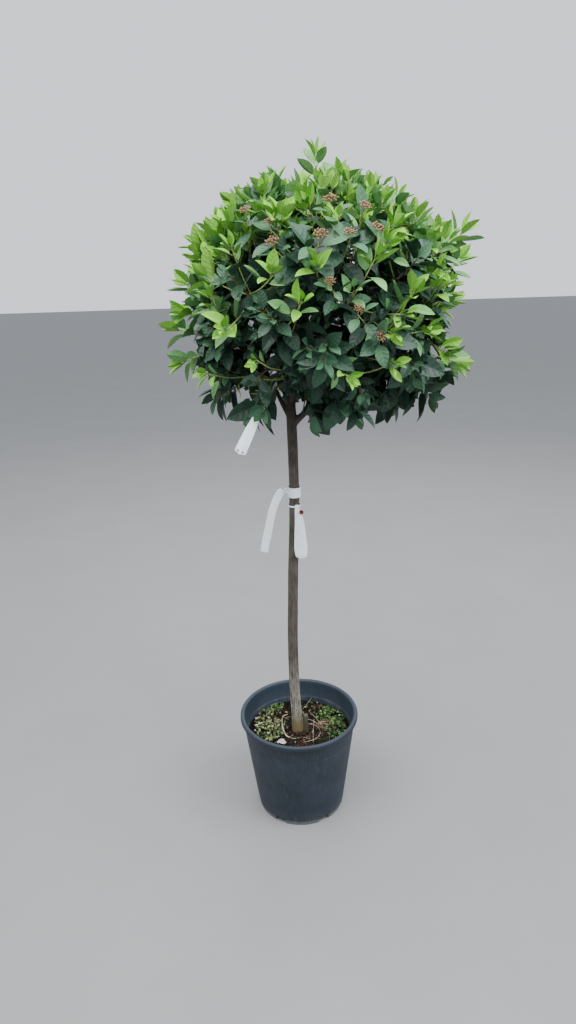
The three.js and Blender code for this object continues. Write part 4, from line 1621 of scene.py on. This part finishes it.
def paperMaterial():
    material = newMaterial("coatedPaper", 0.55)
    even = ownCoordinates(material)
    creases = noiseValue(even, 60, 4)
    relief = mathValue("ADD", creases, product(noiseValue(even, 1400, 3), 0.2))
    colour = ramp(creases, [(0.35, (0.78, 0.86, 0.91)), (0.6, (0.86, 0.93, 0.97))])
    return finishMaterial(material, colour, relief, 0.2, 0.0008)


paper = paperMaterial()
band = makeRing(label["bandHeight"], label["bandWidth"])
finishPiece(join([band, makeStrip("bandTail", "bandTail", 0)], "stemBand"), [paper], ["label_band"])
tie = makeRing(label["tieHeight"], label["tieWidth"])
finishPiece(join([tie, makeStrip("tagBody", "tag", 0.011)], "stemTag"), [paper], ["label_tag"])
leafTag = makeStrip("leafTag", "leafTag", 0.004)
punchHoles(leafTag)
finishPiece(leafTag, [paper], ["label_leaf_tag"])
clipStops = [(0.4, (0.09, 0.012, 0.012)), (0.6, (0.17, 0.024, 0.022))]
finishPiece(makeClip(), [speckMaterial("darkRedPlastic", 0.4, 90, clipStops)])
print("labels done")


# Floor, light and camera

stage = {
    "floorSize": 60, "floorColour": (0.23, 0.23, 0.23), "sky": (0.87, 0.92, 1.0), "skyStrength": 1.22,
    "tiltDown": 19.3, "roll": 1.8, "lens": 24.61,
    # where each light is and where it points, its size, power and colour
    "lights": {
        "topLight": ((-0.6, -0.9, 4.2), (0, 0, 1.3), 3.4, 290, (1.0, 0.98, 0.94)),
        "sideLight": ((2.2, -1.0, 3.4), (0.1, 0, 1.5), 2.2, 145, (0.92, 0.96, 1.0)),
        "backLight": ((0.6, 3.2, 3.2), (0.1, 0, 1.2), 2.6, 60, (0.95, 0.98, 1.0)),
    },
}


def makeFloor():
    deselectAll()
    bpy.ops.mesh.primitive_plane_add(size=stage["floorSize"], location=(0, 0, -0.0004))
    floor = bpy.context.object
    floor.name = "floor"
    material = newMaterial("paleFloor", 0.9)
    spots = noiseValue(ownCoordinates(material), 3, 5)
    low = [part * 0.94 for part in stage["floorColour"]]
    colour = ramp(spots, [(0.3, low), (0.7, stage["floorColour"])])
    setInput(shaderInput(material, "Base Color"), colour)
    floor.data.materials.append(material)


def makeLight(name, place, target, size, power, colour):
    data = bpy.data.lights.new(name, "AREA")
    data.size = size
    data.energy = power
    data.color = colour
    light = linked(name, data)
    light.location = place
    light.rotation_euler = (Vector(target) - Vector(place)).to_track_quat("-Z", "Y").to_euler()


def makeSky():
    world = bpy.data.worlds.new("studioSky")
    world.use_nodes = True
    background = world.node_tree.nodes["Background"]
    background.inputs["Color"].default_value = (*stage["sky"], 1)
    background.inputs["Strength"].default_value = stage["skyStrength"]
    bpy.context.scene.world = world


def makeCamera():
    data = bpy.data.cameras.new("photoCamera")
    data.sensor_width = 36
    data.lens = stage["lens"]
    data.clip_start = 0.05
    tilt = Matrix.Rotation(math.radians(90 - stage["tiltDown"]), 4, "X")
    roll = Matrix.Rotation(math.radians(-stage["roll"]), 4, "Z")
    camera = linked("photoCamera", data)
    camera.matrix_world = Matrix.Translation(eye) @ tilt @ roll
    bpy.context.scene.camera = camera


makeFloor()
makeSky()
for name, values in stage["lights"].items():
    makeLight(name, *values)
makeCamera()
bpy.context.view_layer.update()
print("stage done")
